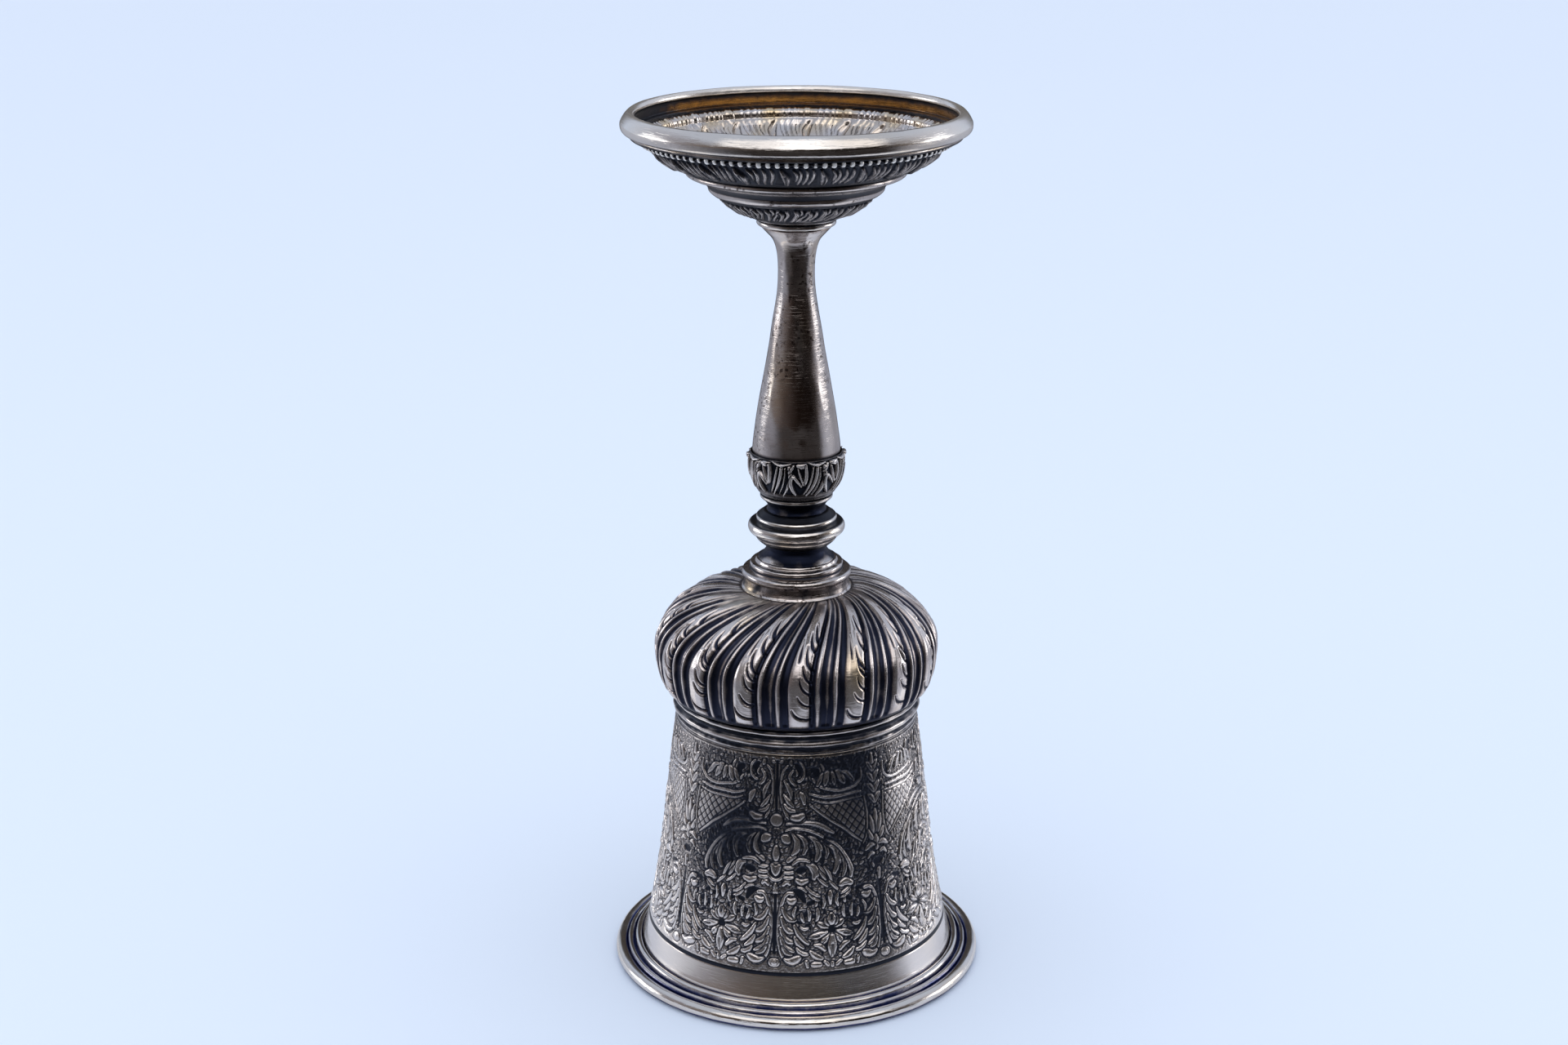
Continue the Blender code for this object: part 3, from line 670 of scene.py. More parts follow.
def cup_ornament():
    """Half a repeat, spine to spine: 45 degrees by the height of the cup."""
    c = Chasing(45 * DEG, 42.0, ground=-0.08, ground_dark=0.72, grow=1.3)
    z0 = 7.9

    def pt(points):
        return [((a - SPINE) * DEG, z - z0) for a, z in points]

    def leaf(points, widths, **kw):
        kw.setdefault("tone", 0.11)
        kw["line"] = 1.25 * kw.get("line", 0.20)
        c.leaf(pt(points), widths, **kw)

    def both(points, widths, **kw):  # the lowest zone is mirrored about the flower
        leaf(points, widths, **kw)
        leaf([(27.8 - a, z) for a, z in points], widths, **kw)

    def cut(points, half=0.08, depth=0.13, dark=0.95):
        c.line(pt(points), half, depth, dark)

    def cuts(points, half=0.08, depth=0.13, dark=0.95):
        cut(points, half, depth, dark)
        cut([(27.8 - a, z) for a, z in points], half, depth, dark)

    def pit(a, z, r, stretch=0.0, lean=0.0, level=-0.32):
        d = stretch
        c.sink(pt([(a - d, z - lean), (a + d, z + lean)]), [r, r * 0.8], level)

    def pits(a, z, r, stretch=0.0, lean=0.0):
        pit(a, z, r, stretch, lean)
        pit(27.8 - a, z, r, stretch, -lean)

    c.stipple(0.44, 3, radius=0.15, height=0.10, tone=0.42)
    c.sprigs(1.2, 11, 2.4, 16.0, size=0.30, chance=0.85, height=0.18, tone=0.30)
    c.sprigs(1.05, 12, 14.6, 41.0, size=0.28, chance=0.96, pits=0.36, tone=0.26, height=0.18)

    # ---- lowest zone: plumes beside the spines, a flower between
    for a in (SPINE, 36.4):
        c.sink(pt([(a, 11.9), (a, 24.0)]), [0.34, 0.30], -0.26)
        leaf([(a + 0.9, 12.4), (a + 1.0, 17.0), (a + 0.9, 22.2)], [0.08, 0.1, 0.07], height=0.14, line=0.1)
    for a, z, r, s, lean in ((3.8, 19.4, 0.52, 0.3, 0.2), (7.2, 18.9, 0.5, 0.5, 0.0), (6.2, 21.4, 0.56, 0.8, 0.1),
                             (9.6, 21.3, 0.5, 0.5, -0.2), (1.3, 17.7, 0.42, 0.5, -0.1), (4.8, 17.4, 0.36, 0.6, 0.1),
                             (11.2, 19.6, 0.34, 0.1, 0.3), (0.6, 20.4, 0.34, 0.1, 0.4), (9.4, 17.5, 0.36, 0.9, -0.1),
                             (12.6, 21.9, 0.36, 0.4, 0.1)):
        pits(a, z, r, s, lean)
    for f in ([(4.8, 20.4), (5.4, 19.2), (5.2, 18.2)], [(8.3, 20.4), (8.6, 19.2), (8.2, 18.0)], [(2.2, 19.6), (2.4, 18.6), (3.0, 17.9)],
              [(7.4, 22.8), (8.0, 21.8), (7.8, 20.8)], [(10.6, 22.6), (11.2, 21.4), (10.6, 20.4)], [(1.8, 16.9), (3.2, 16.5), (4.6, 16.7)]):
        both(f, [0.1, 0.22, 0.14], height=0.22)
    # plume: a band that curls over at its head, and leaves stacked inside it
    c.sink(pt([(-0.8, 23.6), (1.8, 23.0), (3.4, 21.7)]), [0.36, 0.72, 0.36], -0.36)
    c.sink(pt([(27.8 + 1.4, 23.6), (27.8 - 1.8, 23.2)]), [0.3, 0.5], -0.3)
    both([(-1.0, 9.9), (-3.4, 10.1), (-5.3, 11.4), (-6.6, 13.6), (-7.1, 16.2), (-6.8, 19.0), (-5.6, 21.4), (-3.6, 22.9),
          (-1.6, 23.0)], [0.16, 0.16, 0.17, 0.18, 0.19, 0.19, 0.2, 0.24, 0.28], height=0.26)
    both([(-3.4, 21.9), (-2.0, 21.5), (-0.6, 21.9)], [0.2, 0.44, 0.3], height=0.34)
    lobes = [
        ([(-5.6, 20.3), (-4.2, 18.9), (-2.2, 18.2), (-0.2, 18.3)], [0.16, 0.30, 0.34, 0.2]),
        ([(-6.0, 18.6), (-4.6, 16.9), (-2.7, 16.1), (-1.4, 16.0)], [0.16, 0.32, 0.38, 0.22]),
        ([(-6.2, 16.7), (-4.8, 15.0), (-2.9, 14.2), (-1.4, 14.0)], [0.16, 0.32, 0.38, 0.22]),
        ([(-6.0, 14.9), (-4.6, 13.3), (-2.7, 12.6), (-1.2, 12.3)], [0.16, 0.32, 0.36, 0.2]),
        ([(-5.3, 13.1), (-3.9, 12.1), (-2.1, 11.7)], [0.16, 0.26, 0.2]),
    ]
    for points, widths in lobes:
        both(points, widths, height=0.34, line=0.17)
        cuts([(points[0][0] + 0.5, points[0][1] - 0.4), points[1], points[2]], 0.05, 0.1, 0.8)
    both([(0.0, 20.6), (-1.0, 19.6), (-0.6, 18.6)], [0.12, 0.2, 0.14], height=0.24)
    both([(-0.8, 17.2), (0.8, 15.6), (3.0, 14.4), (4.6, 13.8)], [0.14, 0.3, 0.3, 0.16], height=0.3)
    both([(-0.7, 15.0), (0.8, 13.7), (2.6, 13.0)], [0.14, 0.34, 0.2], height=0.3)
    both([(0.2, 12.9), (1.9, 12.0), (4.0, 11.9)], [0.14, 0.34, 0.22], height=0.3)
    # drops at the feet of the plumes, and a disc below each spine
    both([(-4.4, 10.9), (-2.6, 10.5), (-0.6, 10.7), (0.9, 11.2)], [0.12, 0.34, 0.52, 0.34], height=0.36, line=0.24)
    cuts([(-3.4, 10.75), (-1.4, 10.75)], 0.05, 0.1, 0.9)
    for a in (SPINE, 36.4):
        leaf([(a - 0.4, 10.2), (a + 0.4, 10.2)], [0.58, 0.58], height=0.26, line=0.24)
        c.ring((a - SPINE) * DEG, 10.2 - z0, 0.55, half=0.05, height=0.1, line=0.06)
    # flower: pointed petals round a black eye
    def petal(turn, r0, r1, w, splits=(0.0,)):
        cs, sn = math.cos(math.radians(turn)), math.sin(math.radians(turn))

        def at(r, off=0.0):
            return (13.9 + (r * cs - off * sn) / DEG, 15.9 + r * sn + off * cs)

        leaf([at(r0), at(r0 + 0.55 * (r1 - r0)), at(r1)], [0.55 * w, 1.18 * w, 0.5 * w], height=0.34, line=0.20)
        for off in splits:
            cut([at(r0 + 0.42 * (r1 - r0), 0.5 * off), at(r1 + 0.1, off)], 0.06, 0.14, 1.0)

    c.sink(pt([(12.4, 15.9), (15.4, 15.9)]), [0.8, 0.8], -0.4)
    for turn, r0, r1, w, splits in (
        (-52, 1.0, 2.9, 0.34, (0.0,)), (-128, 1.0, 2.9, 0.34, (0.0,)), (38, 1.0, 2.8, 0.34, (0.0,)), (142, 1.0, 2.8, 0.34, (0.0,)),
        (-14, 1.05, 3.7, 0.40, (-0.16, 0.16)), (194, 1.05, 3.7, 0.40, (-0.16, 0.16)), (66, 1.1, 2.6, 0.30, (0.0,)),
        (114, 1.1, 2.6, 0.30, (0.0,)), (-90, 1.05, 4.6, 0.50, (-0.2, 0.2)), (90, 1.25, 3.1, 0.46, (-0.24, 0.0, 0.24)),
    ):
        petal(turn, r0, r1, w, splits)
    c.sink(pt([(13.5, 15.9), (14.3, 15.9)]), [0.62, 0.62], -0.44)
    both([(5.4, 12.4), (7.2, 11.5), (9.4, 10.9)], [0.18, 0.38, 0.26], height=0.32)
    cuts([(5.9, 12.3), (8.8, 11.1)], 0.06, 0.1, 0.85)
    both([(7.0, 13.6), (9.0, 13.3), (10.8, 12.3)], [0.16, 0.32, 0.18], height=0.3)
    both([(6.6, 9.95), (8.6, 9.85)], [0.4, 0.34], height=0.26)
    both([(10.8, 10.3), (12.2, 9.7)], [0.2, 0.22], height=0.24)
    leaf([(13.9, 9.5), (13.9, 10.0)], [0.2, 0.22], height=0.24)
    both([(3.8, 10.6), (4.2, 9.6)], [0.2, 0.14], height=0.2)

    # ---- middle zone
    both([(4.2, 24.3), (6.2, 23.2), (9.0, 22.5)], [0.12, 0.24, 0.16], height=0.28)
    both([(5.0, 23.0), (7.0, 22.1), (9.2, 21.7)], [0.08, 0.14, 0.1], height=0.22)
    leaf([(13.9, 21.0), (13.9, 22.2), (13.9, 23.2)], [0.16, 0.34, 0.18], height=0.28)
    # leaf in an oval on the spine
    leaf([(SPINE + 0.4, 23.2), (SPINE - 0.4, 24.6)], [0.22, 0.3])
    pit(SPINE - 1.4, 24.2, 0.3)
    pit(SPINE + 1.6, 22.8, 0.32)
    c.ring(0, 27.0 - z0, 1.3, 1.6, half=0.17, height=0.22, line=0.2, core=-0.2)
    leaf([(SPINE - 1.2, 26.0), (SPINE, 27.0), (SPINE + 1.2, 28.2)], [0.2, 0.5, 0.24], height=0.3)
    cut([(SPINE - 0.6, 26.3), (SPINE + 0.7, 27.9)], 0.05, 0.1, 0.8)
    leaf([(SPINE, 29.3), (SPINE, 30.4), (SPINE, 31.8)], [0.24, 0.44, 0.2], height=0.28)
    leaf([(-5.4, 24.6), (-4.0, 25.2), (-2.8, 24.7)], [0.22, 0.3, 0.16])
    for z in (25.9, 26.9, 27.9):
        leaf([(-5.2, z + 0.1), (-3.6, z), (-1.6, z + 0.1)], [0.16, 0.26, 0.2], height=0.28, line=0.16)
    # flower with a black eye
    leaf([(4.8, 28.4), (6.9, 27.9), (7.9, 26.8), (7.2, 25.9)], [0.26, 0.5, 0.5, 0.26], height=0.36, line=0.24)
    cut([(6.0, 27.9), (7.2, 26.9), (7.0, 26.1)], 0.05, 0.1, 0.8)
    leaf([(-1.6, 28.5), (0.6, 29.2), (3.2, 29.2), (5.6, 28.9)], [0.16, 0.26, 0.26, 0.14], height=0.3)
    leaf([(-3.6, 29.2), (-2.2, 29.7), (-0.4, 29.9)], [0.3, 0.34, 0.16], height=0.3)
    leaf([(0.2, 25.6), (2.2, 25.1), (4.4, 25.5)], [0.24, 0.42, 0.26], height=0.32, line=0.24)
    leaf([(0.8, 24.2), (2.6, 24.0), (4.2, 23.5)], [0.12, 0.16, 0.12], height=0.24)
    c.sink(pt([(1.5, 27.2), (3.0, 27.4)]), [0.72, 0.66], -0.42)
    leaf([(1.0, 26.5), (2.4, 26.3), (3.9, 26.8)], [0.06, 0.1, 0.06], height=0.1, line=0.08)
    # big scroll: bulb, sweeping back and hanging fingers
    fingers = [
        ([(0.2, 34.0), (2.6, 33.3), (4.0, 31.9), (3.0, 30.4)], [0.12, 0.26, 0.34, 0.2]),
        ([(5.0, 33.7), (8.2, 32.8), (9.8, 31.0), (8.4, 29.2)], [0.12, 0.36, 0.5, 0.24]),
        ([(10.6, 32.8), (12.4, 31.9), (13.0, 30.6), (12.4, 29.6)], [0.1, 0.2, 0.24, 0.14]),
        ([(12.6, 32.3), (16.2, 31.0), (17.6, 28.7), (15.8, 26.6)], [0.12, 0.36, 0.5, 0.26]),
        ([(18.6, 30.2), (20.4, 28.9), (20.8, 27.2), (19.6, 25.7)], [0.12, 0.24, 0.3, 0.18]),
    ]
    for f, widths in fingers:
        leaf(f, widths, height=0.34, line=0.22)
        cut(f[1:], 0.05, 0.1, 0.9)
    c.sink(pt([(4.6, 32.2), (6.2, 30.6), (6.0, 29.4)]), [0.16, 0.34, 0.22], -0.3)
    c.sink(pt([(10.8, 31.0), (11.2, 29.4), (10.4, 28.0)]), [0.14, 0.34, 0.2], -0.3)
    c.sink(pt([(18.3, 28.6), (18.4, 27.2), (17.6, 26.0)]), [0.12, 0.3, 0.16], -0.3)
    leaf([(-1.6, 34.2), (0.2, 32.8), (0.0, 31.2), (-1.6, 30.4)], [0.12, 0.34, 0.4, 0.2], height=0.32)
    for f in ([(9.4, 28.2), (11.0, 27.0), (12.2, 25.4)], [(11.4, 27.9), (13.2, 26.6), (14.6, 25.0)],
              [(8.6, 25.9), (10.4, 25.0), (12.6, 24.2)], [(13.6, 25.0), (15.4, 24.2), (17.0, 23.4)],
              [(9.4, 27.2), (10.8, 26.2), (11.8, 25.4)]):
        leaf(f, [0.1, 0.2, 0.12], height=0.26, line=0.16)
    leaf([(-4.4, 34.7), (-1.0, 35.2), (4.0, 34.9), (9.0, 34.1), (14.0, 32.9), (18.6, 31.1), (22.0, 28.9), (23.7, 26.8),
          (23.2, 25.4)], [0.14, 0.16, 0.18, 0.18, 0.18, 0.2, 0.24, 0.28, 0.2], height=0.3, line=0.22)
    leaf([(18.6, 24.2), (20.8, 24.6), (23.2, 24.3)], [0.34, 0.56, 0.36], height=0.34, line=0.26)
    cut([(19.0, 24.2), (22.8, 24.5)], 0.05, 0.1, 0.8)
    c.sink(pt([(-6.9, 33.2), (-1.9, 33.2)]), [0.3, 0.3], -0.24)
    leaf([(-5.3, 33.5), (-4.4, 33.3), (-3.5, 32.9)], [0.42, 0.62, 0.40], height=0.22, line=0.3, tone=0.18, veined=0.0)
    c.sink(pt([(7.0, 33.2), (14.0, 32.0)]), [0.1, 0.2], -0.2)
    leaf([(-4.0, 36.0), (3.0, 36.2), (8.0, 35.9), (12.4, 35.2), (16.0, 34.2)], [0.14, 0.24, 0.34, 0.36, 0.16], height=0.28, line=0.24)
    cut([(3.0, 35.9), (8.0, 35.6), (12.0, 34.9)], 0.05, 0.1, 0.7)

    # ---- upper zone
    c.sink(pt([(SPINE, 38.0), (SPINE, 47.6)]), [0.34, 0.3], -0.26)
    leaf([(SPINE + 0.9, 38.6), (SPINE + 0.9, 47.0)], [0.08, 0.07], height=0.12, line=0.1)
    leaf([(3.6, 38.2), (3.4, 36.9), (0.2, 36.5), (-3.2, 37.0), (-5.4, 38.6), (-6.7, 41.2), (-6.7, 43.6), (-5.8, 45.6),
          (-4.0, 46.6)], [0.12, 0.15, 0.15, 0.16, 0.16, 0.17, 0.17, 0.17, 0.12], height=0.26)
    for f in (
        [(-5.5, 43.8), (-3.6, 42.6), (-2.4, 41.2), (-2.6, 40.0)], [(-5.6, 41.2), (-3.8, 40.2), (-1.8, 39.2)],
        [(-5.3, 39.5), (-3.4, 38.6), (-1.0, 38.4)], [(-2.6, 44.4), (-1.2, 43.6), (-0.4, 42.6)],
    ):
        leaf(f, [0.12] + [0.3] * (len(f) - 2) + [0.18], height=0.32)
        cut(f[1:], 0.05, 0.1, 0.8)
    leaf([(-1.6, 37.2), (0.6, 37.2), (2.6, 37.6)], [0.36, 0.48, 0.36], height=0.36, line=0.26)
    cut([(-1.0, 37.2), (1.4, 37.2)], 0.05, 0.1, 0.8)
    for a, z, r, s, lean in ((-1.6, 41.2, 0.3, 0.1, 0.7), (5.8, 38.0, 0.36, 0.6, 0.2), (8.0, 37.4, 0.36, 0.5, 0.1),
                             (3.6, 43.8, 0.4, 0.6, 0.1), (10.2, 36.9, 0.3, 0.4, 0.1), (4.4, 45.6, 0.26, 0.1, 0.8),
                             (28.0, 43.4, 0.5, 0.2, 0.7), (25.2, 44.2, 0.3, 1.2, 0.2), (14.0, 33.2, 0.4, 1.6, -0.3)):
        pit(a, z, r, s, lean)
    leaf([(1.6, 41.8), (2.9, 41.0), (3.6, 39.8)], [0.2, 0.4, 0.2], height=0.24)
    # two hollow scrolls under the band
    c.sink(pt([(0.0, 46.8), (1.3, 45.9), (0.2, 44.7)]), [0.5, 0.62, 0.36], -0.36)
    leaf([(-0.4, 45.9), (0.2, 45.3), (-0.2, 44.8)], [0.08, 0.16, 0.08], height=0.2, line=0.12)
    t = np.linspace(-1.7, 1.25, 9)
    leaf([(0.5 + 3.1 * math.cos(v), 45.7 + 1.75 * math.sin(v)) for v in t], [0.1] + [0.17] * 7 + [0.1], height=0.26)
    leaf([(-1.6, 45.8), (-3.0, 44.8), (-2.2, 43.7), (-0.6, 43.2)], [0.12, 0.2, 0.22, 0.14], height=0.28)
    c.sink(pt([(7.6, 46.0), (9.4, 45.5), (8.8, 44.9)]), [0.62, 0.7, 0.5], -0.36)
    leaf([(10.4, 46.3), (10.9, 45.4), (10.0, 44.7)], [0.08, 0.14, 0.08], height=0.2, line=0.12)
    t = np.linspace(-2.6, 0.9, 9)
    leaf([(8.8 + 3.5 * math.cos(v), 45.6 + 1.7 * math.sin(v)) for v in t], [0.1] + [0.16] * 7 + [0.1], height=0.26)
    leaf([(7.4, 44.4), (9.4, 43.2), (13.0, 42.4), (18.6, 41.8), (24.0, 41.8), (28.0, 42.3), (30.4, 43.6), (30.2, 45.2)],
         [0.12, 0.17, 0.19, 0.2, 0.2, 0.2, 0.18, 0.14], height=0.28)
    for a, lean, size in ((10.8, -1.5, 0.8), (13.4, -0.9, 1.15), (16.8, 0.5, 0.95), (20.2, 1.6, 1.25), (24.2, 2.4, 0.85)):
        leaf([(a + lean, 43.0), (a + 0.3 * lean, 43.9), (a - 0.5 * lean, 44.5 + 0.5 * size), (a - 1.4 * lean, 44.7 + 0.6 * size)],
             [0.14, 0.36 * size, 0.34 * size, 0.14], height=0.3)
        cut([(a + 0.8 * lean, 43.3), (a + 0.1 * lean, 44.2)], 0.05, 0.12, 0.9)
    leaf([(6.0, 41.6), (12.0, 40.9), (20.0, 40.7), (29.6, 40.9)], [0.1, 0.2, 0.22, 0.14], height=0.24)
    leaf([(7.4, 40.5), (13.0, 39.8), (21.0, 39.7), (30.0, 39.9)], [0.1, 0.14, 0.14, 0.1], height=0.22)
    # net of crossed cuts on a plain field
    field_a, field_z = c.X / DEG + SPINE, c.Y + z0
    field = smoothstep(0.0, 0.4, field_z - (39.2 - 0.36 * (field_a - 7.0))) * smoothstep(39.5, 39.2, field_z)
    field = field * smoothstep(8.0, 9.0, field_a) * smoothstep(31.0, 30.4, field_a)
    net = 0.0
    for lean in (1.0, -0.75):
        run = (c.X + lean * (c.Y - 28.0)) / 1.5
        net = np.maximum(net, np.exp(-(((np.abs(run - np.round(run))) * 1.5 / 0.13) ** 2)))
    c.H = c.H * (1 - field) + (0.14 - 0.2 * net) * field
    c.P = c.P * (1 - field) + np.clip(0.16 + 0.95 * net, 0, 1) * field
    c.sink(pt([(10.0, 37.4), (15.0, 36.1), (20.0, 34.3), (25.6, 32.2)]), [0.2, 0.3, 0.34, 0.2], -0.24)
    leaf([(6.0, 39.6), (10.0, 38.1), (15.0, 36.5), (20.0, 34.8), (25.0, 33.0), (29.0, 31.6)],
         [0.12, 0.15, 0.16, 0.16, 0.15, 0.1], height=0.28)
    leaf([(31.2, 39.8), (31.9, 36.4), (31.2, 32.8), (29.6, 31.2)], [0.12, 0.16, 0.16, 0.1], height=0.26)
    # plant on the second spine
    leaf([(36.4, 36.8), (36.4, 34.8), (36.4, 32.9)], [0.2, 0.5, 0.26], height=0.34)
    leaf([(33.4, 35.8), (34.2, 34.2), (34.9, 32.6)], [0.16, 0.4, 0.2], height=0.32)
    leaf([(32.2, 33.2), (33.6, 32.0), (35.2, 31.2)], [0.16, 0.36, 0.18], height=0.32)
    leaf([(36.4, 31.9), (36.4, 30.8), (36.4, 29.6)], [0.22, 0.48, 0.26], height=0.32)
    leaf([(35.0, 30.4), (33.0, 30.5), (30.8, 29.8)], [0.18, 0.38, 0.18], height=0.3)
    leaf([(34.8, 28.8), (33.2, 29.0), (31.6, 28.2)], [0.16, 0.26, 0.14], height=0.28)
    c.sink(pt([(35.6, 27.2), (37.2, 27.2)]), [0.7, 0.7], -0.32)
    leaf([(36.4, 25.6), (36.4, 24.0)], [0.32, 0.22], height=0.3)
    leaf([(36.4, 37.6), (36.4, 42.0), (36.4, 46.0)], [0.16, 0.13, 0.1], height=0.24)
    for z in (38.2, 40.2, 42.2, 44.2):
        leaf([(36.0, z), (34.8, z + 1.2), (33.4, z + 1.7)], [0.14, 0.38, 0.18], height=0.32)
        cut([(35.8, z + 0.3), (34.0, z + 1.5)], 0.05, 0.1, 0.8)
    leaf([(36.4, 45.9), (36.4, 47.4)], [0.36, 0.22], height=0.28)
    # boss over the scrolls
    c.sink(pt([(SPINE + 3.0 * math.cos(v), 36.6 + 1.3 * math.sin(v)) for v in np.linspace(0, TAU, 13)]), [0.16] * 13, -0.22)
    leaf([(SPINE - 0.2, 36.6), (SPINE + 0.2, 36.6)], [0.86, 0.86], height=0.28, line=0.2, tone=0.25)
    return c.ease(1)


CUP_ART = cup_ornament()


def cup_relief(A, R, Z, S):
    deg = np.degrees(A)
    q = deg - SPINE + 0.28 * wobble(A, Z, 21, kmax=34, zmax=0.09)
    zz = Z - 7.9 + 0.13 * wobble(A, Z, 22, kmax=30, zmax=0.09)
    h, p = CUP_ART.sample(fold(q, 90.0) * DEG, zz)
    window = smoothstep(8.5, 8.8, Z) * (1 - smoothstep(48.0, 48.35, Z))
    deep = 0.58 + 0.07 * wobble(A, Z, 23, kmax=14, zmax=0.05)
    h = h * window * deep
    p = p * window
    # two lines turned round the lip, and the flare's soft unevenness
    for z, w, d in ((8.0, 0.13, 0.06), (8.5, 0.10, 0.05)):
        h = h - d * bump(Z, z, w)
    p = np.maximum(p, smoothstep(7.72, 7.9, Z) * smoothstep(8.75, 8.55, Z))
    # nearer the crown, crests and ground alike are pulled towards one dark tone
    crown_darkening = 0.42 * smoothstep(15.0, 34.0, Z)
    p = p * (1 - crown_darkening) + 0.74 * crown_darkening * window
    p = p * (1 - 0.32 * smoothstep(13.5, 9.0, Z) * smoothstep(0.96, 0.78, p))
    wear_and_painted_highlight = 0.10 * wobble(A, Z, 24, kmax=10, zmax=0.04) + 0.05
    p = np.clip(p + wear_and_painted_highlight * window, 0, 1)
    h = h + 0.02 * wobble(A, Z, 25, kmax=7, zmax=0.03) * (1 - window)
    near_edge = bump(Z, 48.5, 0.35)
    front = np.mod(deg + 180, 360) - 180
    cloud = 0.30 * bump(front, -26, 13) * bump(Z, 33, 6) + 0.17 * bump(front, 6, 22) * bump(Z, 46, 4.5) + 0.14 * bump(front, 32, 9)
    # painted shade: darker across the front; painted light: lighter on the left and right sides
    cloud = cloud + 0.10 * bump(front, 2, 30) - 0.14 * smoothstep(38, 58, np.abs(front)) * smoothstep(75, 120, 180 - np.abs(front))
    cloud = cloud * (1 + 0.3 * wobble(A, Z, 27, kmax=12, zmax=0.09))
    p = np.clip(p + cloud * window, 0, 1)
    # painted reflection: a warm brown tint on the plain flare, only towards the front
    return h, {"patina_and_painted_light": np.maximum(p, 0.85 * near_edge), "warm": 0.34 * (1 - window) * smoothstep(-0.6, 0.9, wobble(A, Z, 26, 6, 0.05)) * smoothstep(70, 30, np.abs(front)),
               "matte": window * 0.10 + 0.10 * (1 - window) * (Z < 20), "sleek": 0.6 * (1 - window) * (Z < 20)}


def cup_outline():
    zs = np.linspace(4.5, CUP_TOP_Z + 0.15, 160)
    return [(LIP_EDGE, 0.0), (LIP_EDGE, 3.9)] + list(zip(np.minimum(cup_radius(zs), LIP_EDGE - 0.02), zs))


shell("cup_wall_chased", "cup_wall", cup_outline(), 0.9, cup_relief, CHASED,
      columns=1152, step=0.15, inner_step=1.6, inner_gain=0.55, tone=(0.6, 1.2))

lip = [(29.3, 0.0), (29.3, 2.9)]
lip += arc(30.05, 3.0, 0.62, 160, 5)
lip += [(30.8, 2.25), (30.98, 2.2)]
lip += arc(31.6, 2.3, 0.56, 160, 10)
lip += [(32.22, 1.72), (32.36, 1.66)]
lip += arc(33.15, 1.27, 1.23, 140, -75, 24)
lip += [(33.2, 0.0)]


def lip_oxide_and_painted_shadow(A, R, Z):
    front = np.abs(np.mod(np.degrees(A) + 180, 360) - 180)
    # painted shade: the cove's dark band is made wider away from the front
    wide = 0.30 + 0.16 * smoothstep(14, 34, front)
    grooves = np.maximum(bump(R, 30.86, 0.32), bump(R, 32.30, wide)) * (Z > 1.0) + bump(R, 29.5, 0.14) * (Z > 2.6)
    # painted contact shadow: a dark line round the bottom of the outer bead, where it stands on the floor
    grooves = np.maximum(grooves, (R > 32.4) * smoothstep(1.05, 0.72, Z))
    return 0.02 * wobble(A, Z, 31, kmax=40, zmax=0.2), {
        "patina_and_painted_light": np.clip(0.95 * grooves + 0.12 * wobble(A, Z, 33, kmax=24, zmax=0.4), 0, 1),
        "warm": 0.2 * smoothstep(0.3, 1.2, wobble(A, Z, 32, 12, 0.2)) * (R > 31),
    }


turned("lip_ring_moulded", "lip_ring", lip, BLUED, "silver_worn", columns=512, step=0.11, soften=1,
       relief=lip_oxide_and_painted_shadow, span=0.5, tone=(0.10, 0.30))

band = [(21.3, 48.55), (22.3, 48.6), (22.35, 49.3)]
band += [(22.15, 49.7), (22.25, 50.0)]
band += arc(22.2, 50.7, 0.65, -75, 75)
band += [(22.15, 51.75)]
band += arc(22.3, 52.75, 0.55, -75, 70)
band += [(22.0, 53.45), (21.3, 53.6)]


def band_relief(A, R, Z):
    knurl = 0.05 * np.cos(96 * A + 2.0 * np.sin(3 * A)) * bump(Z, 49.6, 0.35) * (R > 21.9)
    dark = np.maximum(bump(Z, 51.75, 0.30), np.maximum(bump(Z, 49.75, 0.36), bump(Z, 53.3, 0.42)))
    dark = np.maximum(dark, 0.84 + 0.25 * wobble(A, Z, 42, kmax=40, zmax=0.5))
    dark = dark * (1 - 0.70 * bump(Z, 50.75, 0.28)) * (1 - 0.75 * bump(Z, 52.65, 0.20)) * (1 - 0.6 * bump(Z, 49.1, 0.14))
    return knurl + 0.03 * wobble(A, Z, 41, kmax=40, zmax=0.2), {"patina_and_painted_light": dark}


turned("junction_band_reeded", "junction_band", band, CHASED, "silver_worn", columns=512, step=0.12,
       relief=band_relief, span=0.5, tone=(0.05, 0.2))

# ---------------------------------------------------------------------- bulb
BULB_R = 25.75
LOBES = 16
BULB_PITCH = 360.0 / LOBES
BULB_TURN = 28.5


def bulb_outline():
    pts = []
    for t in np.linspace(0, 1, 60, endpoint=False):
        a = math.pi / 2 * (1 - t)
        pts.append((22.6 + (BULB_R - 22.6) * math.cos(a), 61.95 - 8.45 * math.sin(a)))
    for a in np.radians(np.linspace(0, 66, 120)):
        r = BULB_R * math.cos(a) ** (2 / 2.55)
        z = 61.95 + 12.15 * math.sin(a) ** (2 / 1.96)
        if z > 72.75:
            break
        pts.append((r, z))
    pts += [(12.3, 73.05), (9.0, 73.12), (0.1, 73.12)]
    return pts


